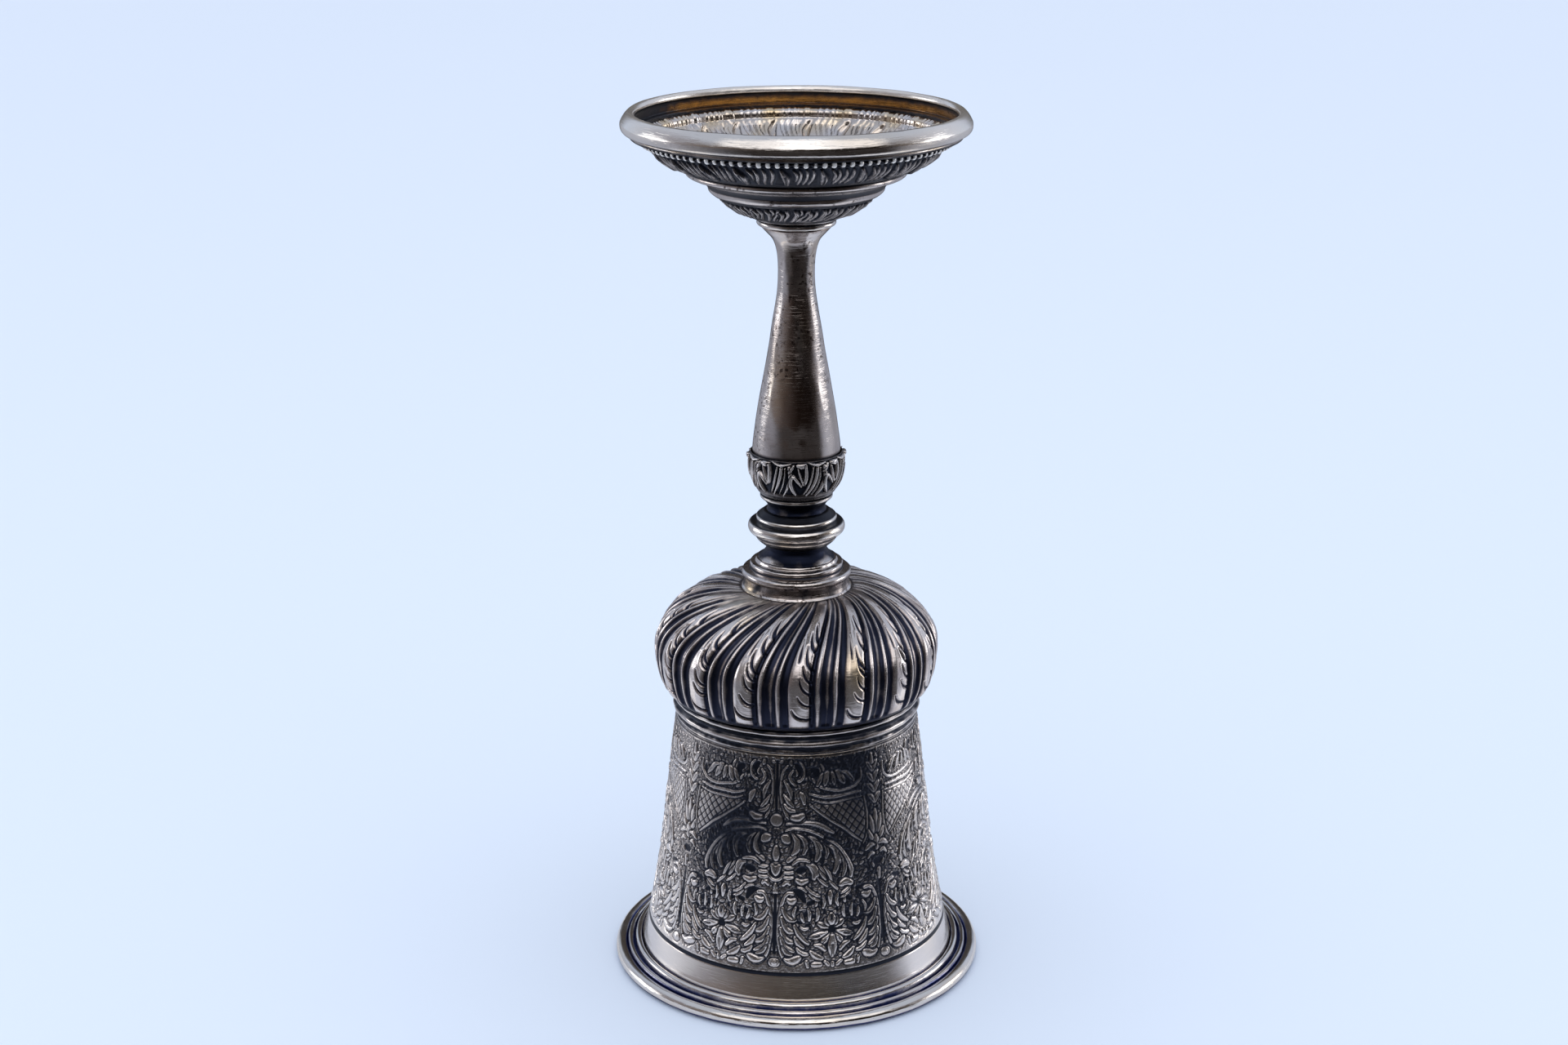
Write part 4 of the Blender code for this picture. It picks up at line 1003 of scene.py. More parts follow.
VEINS = (
    # run along the lobe as (across in fractions of the pitch, height z)
    ((-0.13, 58.4), (-0.08, 57.3), (0.02, 56.6), (0.19, 56.3)),
    ((0.02, 63.9), (0.06, 62.7), (0.12, 61.8), (0.21, 61.1)),
    ((0.00, 68.6), (0.03, 67.4), (0.09, 66.2), (0.21, 65.1)),
    ((0.03, 71.6), (0.08, 70.8), (0.13, 70.2), (0.21, 69.7)),
    ((-0.02, 61.2), (0.03, 60.2), (0.10, 59.5), (0.20, 59.1)),
    ((0.02, 66.3), (0.06, 65.2), (0.12, 64.3), (0.21, 63.6)),
    ((0.02, 70.2), (0.06, 69.3), (0.12, 68.5), (0.21, 67.9)),
    ((-0.12, 70.2), (-0.10, 69.0), (-0.08, 68.0), (-0.07, 67.2)),
)


def bulb_relief(A, R, Z, S):
    rng = np.random.default_rng(77)
    deg = np.degrees(A)
    turn = np.where(Z > 61.95, BULB_TURN * np.log(BULB_R / np.maximum(R, 9.0)), 0.0)
    raw = (deg - 1.2 - turn + 0.35 * wobble(A, Z, 51, kmax=12, zmax=0.04)) / BULB_PITCH
    lobe = np.round(raw).astype(int) % LOBES
    c = raw - np.round(raw)
    shift = rng.uniform(-0.018, 0.018, LOBES)[lobe]
    c = c + shift
    ac = np.abs(c)
    top = smoothstep(73.03, 70.5, Z)
    foot = smoothstep(54.35, 55.3, Z)
    fade = smoothstep(9.9, 11.4, R) * (0.35 + 0.65 * smoothstep(11.0, 19.0, R))
    # leaf | black groove | thin ridge | wide flute | thin ridge | black groove
    ends = (-0.5, -0.44, -0.425, -0.3725, -0.325, -0.30, -0.2575, -0.205, -0.178, -0.12, 0.0, 0.12, 0.165, 0.19, 0.2275,
            0.255, 0.272, 0.3225, 0.375, 0.39, 0.43, 0.5)
    rise = (-0.46, -0.40, -0.12, 0.24, -0.05, -0.34, -0.42, -0.30, 0.02, 0.26, 0.32, 0.26, 0.06, -0.24, -0.46,
            -0.28, 0.0, 0.28, 0.0, -0.30, -0.42, -0.46)
    edges = (-0.5, -0.482, -0.455, -0.415, -0.392, -0.3725, -0.353, -0.33, -0.30, -0.2575, -0.205, -0.178, -0.12, 0.0, 0.12,
             0.165, 0.19, 0.2275, 0.255, 0.283, 0.303, 0.3225, 0.342, 0.365, 0.39, 0.455, 0.482, 0.5)
    black = (0.45, 0.72, 0.98, 0.90, 0.35, 0.0, 0.35, 0.82, 0.95, 1.0, 0.95, 0.35, 0.12, 0.06, 0.12,
             0.35, 0.95, 1.0, 0.95, 0.78, 0.30, 0.0, 0.30, 0.78, 0.95, 0.98, 0.72, 0.45)
    h = np.interp(c, ends, rise) * fade
    patina_and_painted_light = np.interp(c, edges, black)
    patina_and_painted_light = patina_and_painted_light * (1 - 0.25 * smoothstep(16.0, 11.0, R))
    leaf_half = 0.18
    # leaf tips near the crown
    tip = smoothstep(71.9, 72.7, Z) * (ac < leaf_half)
    patina_and_painted_light = np.maximum(patina_and_painted_light, 0.5 * tip)
    # punched veins that curl down to the right-hand groove
    X = c * BULB_PITCH * math.radians(1) * R
    for v, run in enumerate(VEINS):
        jx = rng.uniform(-0.02, 0.02, LOBES)[lobe] - 0.01
        jz = rng.uniform(-0.45, 0.45, LOBES)[lobe]
        grow = rng.uniform(0.85, 1.15, LOBES)[lobe]
        near = (ac < 0.26) & (np.abs(Z - np.mean([p[1] for p in run])) < 3.5)
        idx = np.nonzero(near)
        x, z = X[idx], Z[idx] - jz[idx]
        scale = (BULB_PITCH * math.radians(1) * R)[idx]
        path = catmull([(p[0], p[1], w) for p, w in zip(run, (0.08, 0.2, 0.26, 0.2))], 5)
        best = np.full(x.shape, -1e9)
        for (x0, z0, w0), (x1, z1, w1) in zip(path[:-1], path[1:]):
            ax, bx = (x0 + jx[idx]) * scale, (x1 + jx[idx]) * scale
            dx, dz = bx - ax, (z1 - z0)
            t = np.clip(((x - ax) * dx + (z - z0) * dz) / np.maximum(dx * dx + dz * dz, 1e-9), 0, 1)
            e = (w0 + (w1 - w0) * t) * grow[idx] - np.hypot(x - ax - t * dx, z - z0 - t * dz)
            best = np.maximum(best, e)
        if v == len(VEINS) - 1:
            best = best - 0.06
        g = smoothstep(-0.12, 0.14, best) * fade[idx]
        lip = np.exp(-(((best + 0.28) / 0.16) ** 2))
        h[idx] += -0.30 * g + 0.05 * lip * fade[idx]
        patina_and_painted_light[idx] = np.maximum(patina_and_painted_light[idx], g)
    h = h * foot
    h = h + 0.035 * wobble(A, Z, 52, kmax=26, zmax=0.2) * fade
    below = 1 - smoothstep(54.3, 55.2, Z)
    patina_and_painted_light = np.maximum(patina_and_painted_light, 0.95 * below)
    front = (np.mod(deg + 180, 360) - 180)
    warm = 0.62 * bump(front, 24.5, 4.5) * bump(Z, 64.5, 3.6) * (ac < 0.21) + 0.25 * bump(front, -31, 4) * bump(Z, 72, 1.6)
    crown = smoothstep(19.5, 15.5, R) * smoothstep(71.0, 72.5, Z)
    smear = bump(front, -48, 26) * smoothstep(21.5, 12.5, R) * smoothstep(69.5, 72.5, Z)
    smear = smear * smoothstep(-0.5, 0.6, wobble(A, R, 53, kmax=22, zmax=0.22))
    h = h + 0.05 * smear * (1 + wobble(A, R, 54, kmax=60, zmax=0.7))
    dull = np.clip(0.2 * crown + 0.85 * smear, 0, 1)
    patina_and_painted_light = patina_and_painted_light * (1 - 0.7 * smear)
    rings = 0.8 * bump(R, 10.3, 0.3) * (Z > 72.5)
    # darker towards the bulb's underside; painted shade across the front
    patina_and_painted_light = patina_and_painted_light + 0.10 * wobble(A, Z, 55, kmax=30, zmax=0.3) + 0.20 * smoothstep(60.5, 56.5, Z) + 0.07 * bump(front, 0, 34)
    return h, {"patina_and_painted_light": np.clip(np.maximum(patina_and_painted_light, rings), 0, 1), "warm": warm, "dull": dull,
               "matte": 0.18 * smoothstep(1.2, 0.0, patina_and_painted_light)}


shell("bulb_gadrooned", "gadrooned_bulb", bulb_outline(), 0.9, bulb_relief, LOBED,
      columns=960, step=0.17, inner_step=0.9, inner_gain=0.75, ends_open=True, tone=(0.7, 1.4))


# ---------------------------------------------------------------- stem group
collar = [(7.0, 73.12), (10.15, 73.12), (9.75, 73.5), (9.5, 74.1), (9.42, 75.2)]
collar += arc(9.35, 75.95, 0.65, -70, 70)
collar += [(8.55, 76.8)]
collar += arc(8.05, 77.5, 0.45, -60, 60)
collar += [(7.5, 78.05), (7.3, 78.65), (2.3, 78.65), (2.3, 75.5), (7.0, 75.5)]


def collar_relief(A, R, Z):
    return 0.03 * wobble(A, Z, 61, kmax=20, zmax=0.2), {
        "patina_and_painted_light": np.clip(0.62 + 0.25 * wobble(A, Z, 62, 24, 0.3), 0, 0.85) * (Z < 75.2) * (Z > 73.5),
        "warm": 0.5 * smoothstep(0.0, 1.0, wobble(A, Z, 63, 9, 0.2)) * (Z < 75.3),
    }


turned("collar_turned", "collar", collar, SATIN, "silver_warm", columns=256, step=0.12, relief=collar_relief,
       span=0.45, tone=(0.05, 0.2))



def neck_relief(A, R, Z):
    front = np.mod(np.degrees(A) + 180, 360) - 180
    # painted highlights: the dark film is cleared in bright patches at the left, right and back of the neck's foot
    wear_and_painted_highlight = 0.68 * (bump(front, -50, 25) + bump(front, 52, 22) + 0.5 * bump(np.abs(front), 180, 60)) * smoothstep(79.8, 78.8, Z)
    return 0.02 * wobble(A, Z, 106, 14, 0.3), {
        "patina_and_painted_light": (1.0 + 0.14 * wobble(A, Z, 64, 12, 0.3)) * (1 - np.clip(wear_and_painted_highlight, 0, 1)),
        # painted reflection: a small warm spot to the front right
        "warm": 0.5 * bump(front, 22, 7) * smoothstep(79.6, 78.9, Z),
    }


neck = [tuple(p) for p in catmull([(7.05, 78.65), (6.2, 79.3), (5.5, 80.4), (5.6, 81.4)], 8)]
turned("lower_neck_turned", "lower_neck", neck + [(2.3, 81.4), (2.3, 78.65)], SHADED, "silver_oxidised",
       columns=192, step=0.15, relief=neck_relief)

knop = [(5.9, 81.4), (6.2, 81.45), (7.1, 82.2)]
knop += arc(7.55, 84.6, 1.25, -75, 58, 24)
knop += [(7.15, 85.66)]
knop += arc(6.75, 86.25, 0.6, -50, 75)
knop += [(5.85, 87.65), (2.3, 87.65), (2.3, 81.4)]


def knop_relief(A, R, Z):
    return 0.03 * wobble(A, Z, 65, kmax=16, zmax=0.2), {
        "patina_and_painted_light": np.clip(0.95 * bump(Z, 85.62, 0.26) * (R > 6) + (0.82 * smoothstep(83.95, 83.1, Z) - 0.5 * bump(Z, 82.75, 0.14)) * (R > 5) + 0.97 * smoothstep(86.55, 86.8, Z), 0, 1),
        "warm": 0.25 * smoothstep(0.1, 1.0, wobble(A, Z, 66, 9, 0.2)),
    }


turned("knop_turned", "knop", knop, POLISHED, "silver_worn", columns=256, step=0.12, relief=knop_relief,
       span=0.45, tone=(0.05, 0.2))

neck = [tuple(p) for p in catmull([(5.5, 87.6), (5.2, 88.5), (5.65, 89.35), (6.25, 89.95)], 8)]
turned("upper_neck_turned", "upper_neck", neck + [(2.3, 89.95), (2.3, 87.6)], SHADED, "silver_oxidised",
       columns=192, step=0.15, relief=lambda A, R, Z: (0 * A, {"patina_and_painted_light": 0.92 + 0.12 * wobble(A, Z, 67, 12, 0.3)}))
turned("calyx_fillet_turned", "calyx_fillet", [(6.1, 89.95)] + arc(6.15, 90.42, 0.45, -80, 80) + [(6.1, 90.9), (2.3, 90.9), (2.3, 89.95)],
       POLISHED, "silver_worn", columns=192, step=0.12,
       relief=lambda A, R, Z: (0 * A, {"patina_and_painted_light": 0.95 * (1 - 0.95 * bump(Z, 90.42, 0.17))}))

CALYX_DEG = 8.4 * math.radians(1)


def calyx_ornament():
    c = Chasing(45 * CALYX_DEG + 0.02, 8.4, ground=-0.34, ground_dark=1.0, grow=0.97)
    a_left = -12.0

    def leaf(points, widths, **kw):
        for wrap in (-45, 0, 45):
            c.leaf([((a - a_left + wrap) * CALYX_DEG, z - 91.0) for a, z in points], [1.02 * w for w in widths], veined=0.0, **kw)

    # long slanting strokes of the arch
    leaf([(27.0, 98.0), (25.6, 96.2), (21.0, 94.2), (13.0, 92.3)], [0.26, 0.3, 0.26, 0.12], height=0.3)
    leaf([(22.0, 98.1), (19.0, 96.0), (14.6, 94.0), (9.0, 92.5)], [0.12, 0.2, 0.18, 0.08], height=0.22)
    leaf([(35.6, 98.0), (37.4, 96.0), (33.6, 93.8), (27.0, 92.2)], [0.26, 0.34, 0.28, 0.12], height=0.32)
    leaf([(31.0, 97.6), (30.6, 96.0), (27.6, 94.2), (21.0, 92.4)], [0.1, 0.14, 0.14, 0.08], height=0.2)
    leaf([(14.6, 98.75), (20.0, 98.35), (27.0, 98.15), (37.5, 98.5)], [0.14, 0.2, 0.2, 0.14], height=0.26)
    # S-shaped leaf
    leaf([(1.0, 98.2), (6.0, 98.1), (11.0, 98.3)], [0.34, 0.5, 0.3], height=0.3)
    leaf([(11.2, 98.0), (11.6, 96.4), (9.4, 94.8), (5.6, 94.2)], [0.26, 0.34, 0.3, 0.16], height=0.32)
    leaf([(1.2, 97.6), (3.0, 96.6), (6.0, 95.2), (7.4, 94.6)], [0.12, 0.2, 0.2, 0.12], height=0.24)
    leaf([(5.0, 94.2), (0.6, 95.2), (-4.6, 96.1), (-7.2, 95.2), (-5.6, 93.6), (-1.6, 92.5)], [0.14, 0.26, 0.26, 0.28, 0.3, 0.18],
         height=0.32)
    leaf([(-4.2, 98.2), (-6.4, 97.4), (-10.0, 96.8)], [0.2, 0.24, 0.12], height=0.26)
    return c.ease(1)


CALYX_ART = calyx_ornament()


def calyx_relief(A, R, Z):
    deg = np.degrees(A) + 12.0 + 0.8 * wobble(A, Z, 71, kmax=10, zmax=0.08)
    h, p = CALYX_ART.sample(np.mod(deg, 45.0) * CALYX_DEG, np.clip(Z - 91.0, 0, 8.3))
    outside = (R > 6.9) & (Z > 91.5)
    outside = outside & ~((R < 8.33) & (Z > 95.3) & (R < 8.25))
    win = np.where(outside, smoothstep(91.9, 92.6, Z) * (1 - smoothstep(98.95, 99.0, Z)), 0.0)
    scallop = 0.10 * np.cos(np.radians(16 * (np.degrees(A) - 5.0))) * smoothstep(97.0, 98.9, Z)
    patina_and_painted_light = np.where(outside, p * win + 0.75 * (1 - smoothstep(91.8, 92.5, Z)), 0.6)
    return h * win + scallop * outside, {"patina_and_painted_light": patina_and_painted_light, "matte": 0.24 * outside * smoothstep(0.5, 0.15, p) * win}


calyx = [tuple(p) for p in catmull([(6.4, 90.9), (6.95, 91.4), (7.55, 92.4), (8.0, 93.4), (8.4, 94.8), (8.62, 96.4), (8.66, 98.3)], 6)]
calyx += [(8.62, 98.75), (8.4, 98.95), (8.1, 98.8), (8.05, 95.5), (2.3, 95.5), (2.3, 90.9)]
turned("calyx_chased", "calyx", calyx, CHASED, "silver_worn", columns=512, step=0.13, relief=calyx_relief,
       span=0.6, tone=(0.25, 0.6))

stem = [tuple(p) for p in catmull([(7.7, 95.6), (7.95, 99.1), (7.52, 103.0), (6.96, 106.8), (5.61, 114.2), (4.43, 121.7),
                                   (3.47, 127.7), (3.26, 132.0), (3.5, 135.0), (4.2, 137.2), (5.4, 138.6), (6.45, 139.75)], 10)]
stem_in = [(5.2, 139.75), (4.2, 138.4), (3.2, 137.0), (2.5, 134.9), (2.35, 131.0), (2.5, 127.7), (3.4, 121.7), (4.6, 114.2),
           (5.95, 106.8), (6.9, 99.1), (6.7, 95.6)]


def stem_relief(A, R, Z):
    flats = 0.045 * wobble(A, Z, 81, kmax=7, zmax=0.06) + 0.02 * wobble(A, Z, 82, kmax=16, zmax=0.16)
    tarnish_and_painted_light = np.clip(0.16 + 0.16 * wobble(A, Z, 83, kmax=9, zmax=0.08), 0, 0.5)
    foot = np.maximum(bump(Z, 98.9, 0.5), 0.6 * smoothstep(138.6, 139.7, Z))
    front = np.mod(np.degrees(A) + 180, 360) - 180
    sleek = smoothstep(117, 105, Z) * smoothstep(-64, -40, front) * smoothstep(178, 150, front)
    # painted reflection: a dark band down the front of the stem, where it mirrors the dark room by the camera
    tarnish_and_painted_light = tarnish_and_painted_light + 0.36 * bump(front, 8, 22) * smoothstep(104, 117, Z) * smoothstep(136.5, 132, Z)
    # painted highlights: bright bands low on the left and right, made by clearing the dark film there
    band = (bump(front, -57, 9) + 0.8 * bump(front, 44, 9)) * smoothstep(114, 106, Z)
    tarnish_and_painted_light = tarnish_and_painted_light * (1 - 0.8 * band)
    fleck = smoothstep(0.8, 1.5, wobble(A, Z, 107, kmax=60, zmax=0.7)) * np.maximum(bump(front, -32, 19) * bump(Z, 117, 10), 0.6 * bump(front, -18, 14) * bump(Z, 133, 5))
    tarnish_and_painted_light = np.maximum(tarnish_and_painted_light, 0.85 * fleck)
    return flats, {"patina_and_painted_light": np.maximum(tarnish_and_painted_light, foot * 0.9), "sleek": 0.9 * sleek, "matte": 0.16 * band,
                   "warm": 0.25 * smoothstep(0.2, 1.1, wobble(A, Z, 84, 5, 0.05))}


turned("stem_baluster_turned", "stem_baluster", stem + stem_in, SATIN, "silver_warm", columns=256, step=0.28,
       soften=1, relief=stem_relief, span=0.8, tone=(0.5, 1.0), unevenness=0.02)

collet = [(6.3, 139.75)] + arc(6.5, 140.35, 0.52, -75, 75) + [(6.3, 141.0), (2.3, 141.0), (2.3, 139.75)]
turned("collet_ring_turned", "collet_ring", collet, POLISHED, "silver_worn", columns=288, step=0.1,
       relief=lambda A, R, Z: (0.015 * wobble(A, Z, 104, 30, 0.3) * (R > 6.4), {"patina_and_painted_light": 0.25 + 0.25 * wobble(A, Z, 105, 14, 0.3)}),
       span=0.3, tone=(0.08, 0.3))

# ---------------------------------------------------------------------- foot
DOME_DEG = 11.6 * math.radians(1)
DOME_UNITS = 16


def dome_ornament():
    pitch = 360.0 / DOME_UNITS
    c = Chasing(pitch * DOME_DEG + 0.02, 9.0, ground=-0.16, ground_dark=1.0, grow=0.88)

    def leaf(points, widths, **kw):
        for wrap in (-pitch, 0, pitch):
            c.leaf([((a + wrap) * DOME_DEG, s) for a, s in points], widths, **kw)

    leaf([(4.0, 1.2), (4.6, 3.6), (4.2, 5.8), (2.2, 7.4)], [0.26, 0.5, 0.55, 0.3], height=0.38)
    leaf([(9.6, 0.9), (9.2, 3.2), (10.4, 5.6), (12.2, 7.6)], [0.2, 0.36, 0.4, 0.26], height=0.34)
    leaf([(15.0, 1.2), (15.8, 3.4), (15.0, 5.6), (13.0, 6.6)], [0.22, 0.4, 0.42, 0.24], height=0.36)
    leaf([(20.0, 0.9), (19.4, 3.0), (19.8, 5.2), (18.0, 7.4)], [0.2, 0.34, 0.36, 0.24], height=0.34)
    leaf([(7.0, 4.6), (7.6, 6.0), (6.4, 7.8)], [0.12, 0.26, 0.18], height=0.3)
    leaf([(17.6, 1.0), (17.6, 2.6)], [0.16, 0.14], height=0.26)
    leaf([(12.4, 1.0), (12.4, 2.8)], [0.16, 0.14], height=0.26)
    return c.ease(2)


DOME_ART = dome_ornament()


def dome_relief(A, R, Z, S):
    pitch = 360.0 / DOME_UNITS
    deg = np.degrees(A) + 3.0 + 0.9 * wobble(A, Z, 91, kmax=9, zmax=0.08)
    deg = deg + 9.0 * smoothstep(7.0, 1.0, S)
    h, p = DOME_ART.sample(np.mod(deg, pitch) * DOME_DEG, (S - 2.2) * 1.42)
    win = smoothstep(2.6, 3.9, S) * (1 - smoothstep(7.9, 8.3, S))
    gain = np.clip(R / 12.0, 0.55, 1.1)
    plain = 0.90 + 0.10 * np.cos(np.radians(8 * deg)) * smoothstep(1.0, 3.0, S) + 0.1 * wobble(A, Z, 94, 20, 0.3)
    p = np.minimum(0.52 + 0.56 * p, 1.0) * win + plain * (1 - win)
    return h * win * gain, {"patina_and_painted_light": np.maximum(p, 0.95 * (1 - smoothstep(0.5, 1.0, S))), "matte": 0.1 * win}


dome = [tuple(p) for p in catmull([(6.8, 140.95), (9.75, 142.15), (12.0, 143.7), (13.6, 144.85), (14.75, 145.6)], 8)]
shell("foot_dome_chased", "foot_leaf_dome", dome, 0.75, dome_relief, CHASED,
      columns=704, step=0.15, inner_step=0.3, tone=(0.3, 0.8))

# plate of the dome that the fastening clamps against
turned("foot_dome_plate", "foot_leaf_dome", [(2.3, 141.1), (7.6, 141.1), (8.0, 141.95), (2.3, 141.95)], SHADED,
       "silver_oxidised", columns=128, step=0.15, relief=lambda A, R, Z: (0 * A, {"patina_and_painted_light": 0.5 + 0.2 * wobble(A, Z, 92, 9, 0.3)}))

step_out = [tuple(p) for p in catmull([(14.7, 145.5), (15.25, 145.95), (15.45, 146.35), (15.55, 146.75), (16.0, 147.35),
                                       (17.0, 148.05), (18.3, 148.5), (19.0, 148.75), (19.3, 149.1), (19.15, 149.7)], 8)]


def step_relief(A, R, Z, S):
    rings = 0.06 * bump(Z, 146.75, 0.13)
    cove = smoothstep(146.5, 146.75, Z) * (1 - smoothstep(147.5, 148.3, Z))
    return 0.03 * wobble(A, Z, 93, kmax=12, zmax=0.2) - rings, {
        "patina_and_painted_light": np.maximum(0.95 * cove, np.maximum(0.95 * bump(Z, 149.62, 0.3), 0.95 * bump(Z, 145.55, 0.22))),
    }


shell("foot_step_spun", "foot_step", step_out, 0.75, step_relief, SATIN,
      columns=384, step=0.14, inner_step=0.3, tone=(0.12, 0.4), age=0.8)

LEAF_DEG = 23.0 * math.radians(1)
LEAF_UNITS = 22


def leaf_ornament():
    pitch = 360.0 / LEAF_UNITS
    c = Chasing(pitch * LEAF_DEG + 0.02, 9.6, ground=-0.18, ground_dark=1.0, grow=0.88)

    def leaf(points, widths, **kw):
        for wrap in (-pitch, 0, pitch):
            c.leaf([((a + wrap) * LEAF_DEG, s) for a, s in points], widths, **kw)

    def line(points, half, depth, dark):
        for wrap in (-pitch, 0, pitch):
            c.line([((a + wrap) * LEAF_DEG, s) for a, s in points], half, depth, dark)

    # broad curling leaf, then three leaning strokes
    leaf([(6.4, 0.6), (5.2, 2.4), (3.8, 4.2), (1.6, 6.0), (0.6, 7.2)], [0.22, 0.5, 0.66, 0.46, 0.24], height=0.44)
    line([(5.6, 1.4), (4.2, 3.6), (2.2, 5.8)], 0.10, 0.16, 1.0)
    leaf([(8.4, 3.2), (7.6, 5.2), (5.2, 7.2)], [0.14, 0.30, 0.18], height=0.34)
    leaf([(10.8, 1.0), (9.9, 3.4), (8.8, 5.8), (7.6, 7.4)], [0.16, 0.28, 0.28, 0.14], height=0.34)
    leaf([(13.4, 0.9), (12.5, 3.4), (11.5, 5.8), (10.6, 7.4)], [0.16, 0.28, 0.28, 0.14], height=0.34)
    leaf([(15.9, 0.9), (15.1, 3.4), (14.2, 5.8), (13.4, 7.4)], [0.16, 0.26, 0.28, 0.14], height=0.34)
    return c.ease(2)


LEAF_ART = leaf_ornament()


def leaf_relief(A, R, Z, S):
    pitch = 360.0 / LEAF_UNITS
    deg = np.degrees(A) + 7.5 + 0.7 * wobble(A, Z, 95, kmax=12, zmax=0.08)
    deg = deg + 3.5 * smoothstep(7.5, 2.0, S)
    h, p = LEAF_ART.sample(np.mod(deg, pitch) * LEAF_DEG, (S - 1.9) * 1.24)
    win = smoothstep(2.1, 3.4, S) * (1 - smoothstep(8.0, 8.4, S))
    plain = 0.93 + 0.10 * wobble(A, Z, 96, 30, 0.3)
    patina_and_painted_light = np.minimum(0.53 + 0.56 * p, 1.0) * win + plain * (1 - win)
    return h * win, {"patina_and_painted_light": np.maximum(patina_and_painted_light, 0.95 * (1 - smoothstep(0.4, 0.9, S))), "matte": 0.05 * win, "warm": 0.0 * R}


def leaf_inside(A, R, Z, S):
    """The fluted, gilt-tinged back of the band carries on over the flange."""
    deg = np.degrees(A) + 7.5 + 0.7 * wobble(A, Z, 95, kmax=12, zmax=0.08) + 1.1 * (R - 25.0)
    h, p = LEAF_ART.sample(np.mod(deg, 360.0 / LEAF_UNITS) * LEAF_DEG, 0.9 + (28.3 - R) * 1.5)
    reach = smoothstep(24.9, 25.6, R) * smoothstep(28.4, 28.1, R)
    gilt = smoothstep(20.5, 25.0, R) * (0.22 + 0.32 * wobble(A, Z, 100, 26, 0.3))
    return -0.28 * h * reach, {
        "patina_and_painted_light": (reach > 0.02, np.clip(0.14 + 0.24 * p * reach, 0, 1)),
        "warm": (R > 18.0, np.clip(gilt, 0, 1)),
    }


leaf_out = [tuple(p) for p in catmull([(18.95, 149.62), (20.6, 150.2), (23.1, 151.55), (24.8, 152.9), (25.9, 154.2), (26.1, 155.0)], 8)]
leaf_out += [(26.25, 155.5), (27.6, 155.5), (28.9, 155.5)]
shell("foot_leaf_band_chased", "foot_leaf_band", leaf_out, 0.7, leaf_relief, CHASED,
      columns=880, step=0.15, inner_step=0.22, inner_gain=0.85, tone=(0.5, 1.0), inside=leaf_inside)

# beads on their wire
BEADS = 109
a = np.arange(BEADS * 10) / (BEADS * 10) * TAU
phase = (np.mod(a * BEADS / TAU + 0.5, 1.0) - 0.5) * TAU * 26.85 / BEADS
thick = np.maximum(0.2, np.sqrt(np.clip(0.6**2 - phase**2, 0, None)))
rng = np.random.default_rng(9)
thick = thick * (1 + 0.05 * rng.standard_normal(BEADS)[np.floor(a * BEADS / TAU + 0.5).astype(int) % BEADS])
psi = np.arange(14) / 14 * TAU
PS, AA = np.meshgrid(psi, a, indexing="ij")
TT = np.repeat(thick[None, :], 14, 0)
beads = grid_piece("beaded_wire_beads", 26.85 + TT * np.cos(PS), AA, 154.9 + TT * np.sin(PS), True,
                   {"patina_and_painted_light": 1 - smoothstep(0.44, 0.585, TT), "matte": 0.9 * smoothstep(0.46, 0.60, TT)})
place(beads, "beaded_wire", POLISHED)

rim = [(27.3, 156.15), (29.1, 156.18), (29.65, 156.36)]
rim += [tuple(p) for p in catmull([(30.15, 156.58), (30.42, 156.95), (30.52, 157.45), (30.50, 157.95)], 6)]
rim += [tuple(p) for p in catmull([(30.50, 157.96), (30.30, 158.38), (30.02, 158.86), (29.70, 159.3), (29.36, 159.65), (29.0, 159.88),
                                   (28.65, 159.95), (28.3, 159.75), (28.07, 159.4), (27.97, 159.0)], 5)]
rim += [(28.1, 158.75), (28.3, 158.55), (28.4, 158.2), (28.4, 156.8), (27.3, 156.75)]


def rim_relief(A, R, Z):
    inside = (R < 28.8) & (Z < 158.9)
    gold = bump(Z, 157.35, 0.85) * smoothstep(-0.9, 0.4, wobble(A, Z, 103, 7, 0.05))
    # the crease at the rim's foot is oxide; the band under the crest, darkened only towards the front, is painted shade
    under = np.maximum(0.95 * bump(Z, 156.4, 0.3), 0.43 * smoothstep(158.0, 157.8, Z) * smoothstep(80, 40, np.abs(np.mod(np.degrees(A) + 180, 360) - 180)))
    return 0.02 * wobble(A, Z, 97, kmax=16, zmax=0.2), {
        "patina_and_painted_light": np.where(inside, 0.97 - 0.45 * gold, under),
        "warm": np.where(inside, 1.0, 0.15 * smoothstep(0.2, 1.0, wobble(A, Z, 99, 9, 0.1))),
        "matte": np.where(inside, 0.0, 0.38 * smoothstep(30, 62, np.abs(np.mod(np.degrees(A) + 180, 360) - 180))),
    }


turned("foot_rim_rolled", "foot_rim", rim, POLISHED, "silver_worn", columns=448, step=0.12, soften=1, relief=rim_relief,
       span=0.5, tone=(0.08, 0.3))

# --------------------------------------------------------- centre fastening
turned("rod_flange_disc", "rod_flange", [(0.02, 73.3), (5.8, 73.3), (6.0, 73.5), (6.0, 74.1), (5.8, 74.3), (0.02, 74.3)],
       BRASS, "brass_fittings", columns=96, step=0.15, soften=1, closed=False, sharp=40)


def thread(A, R, Z):
    pitch = 0.7
    cut = 0.16 * (np.abs(np.mod(Z / pitch + A / TAU, 1.0) - 0.5) * 2 - 0.5)
    return cut * smoothstep(138.8, 139.2, Z) * (1 - smoothstep(147.8, 148.2, Z)) * (R > 1.7), {}


rod = [(0.02, 74.55), (2.0, 74.55), (2.0, 148.2), (1.6, 148.6), (0.02, 148.6)]
turned("tie_rod_threaded", "tie_rod", rod, BRASS, "brass_fittings", columns=48, step=0.14, soften=1, closed=False,
       relief=thread)


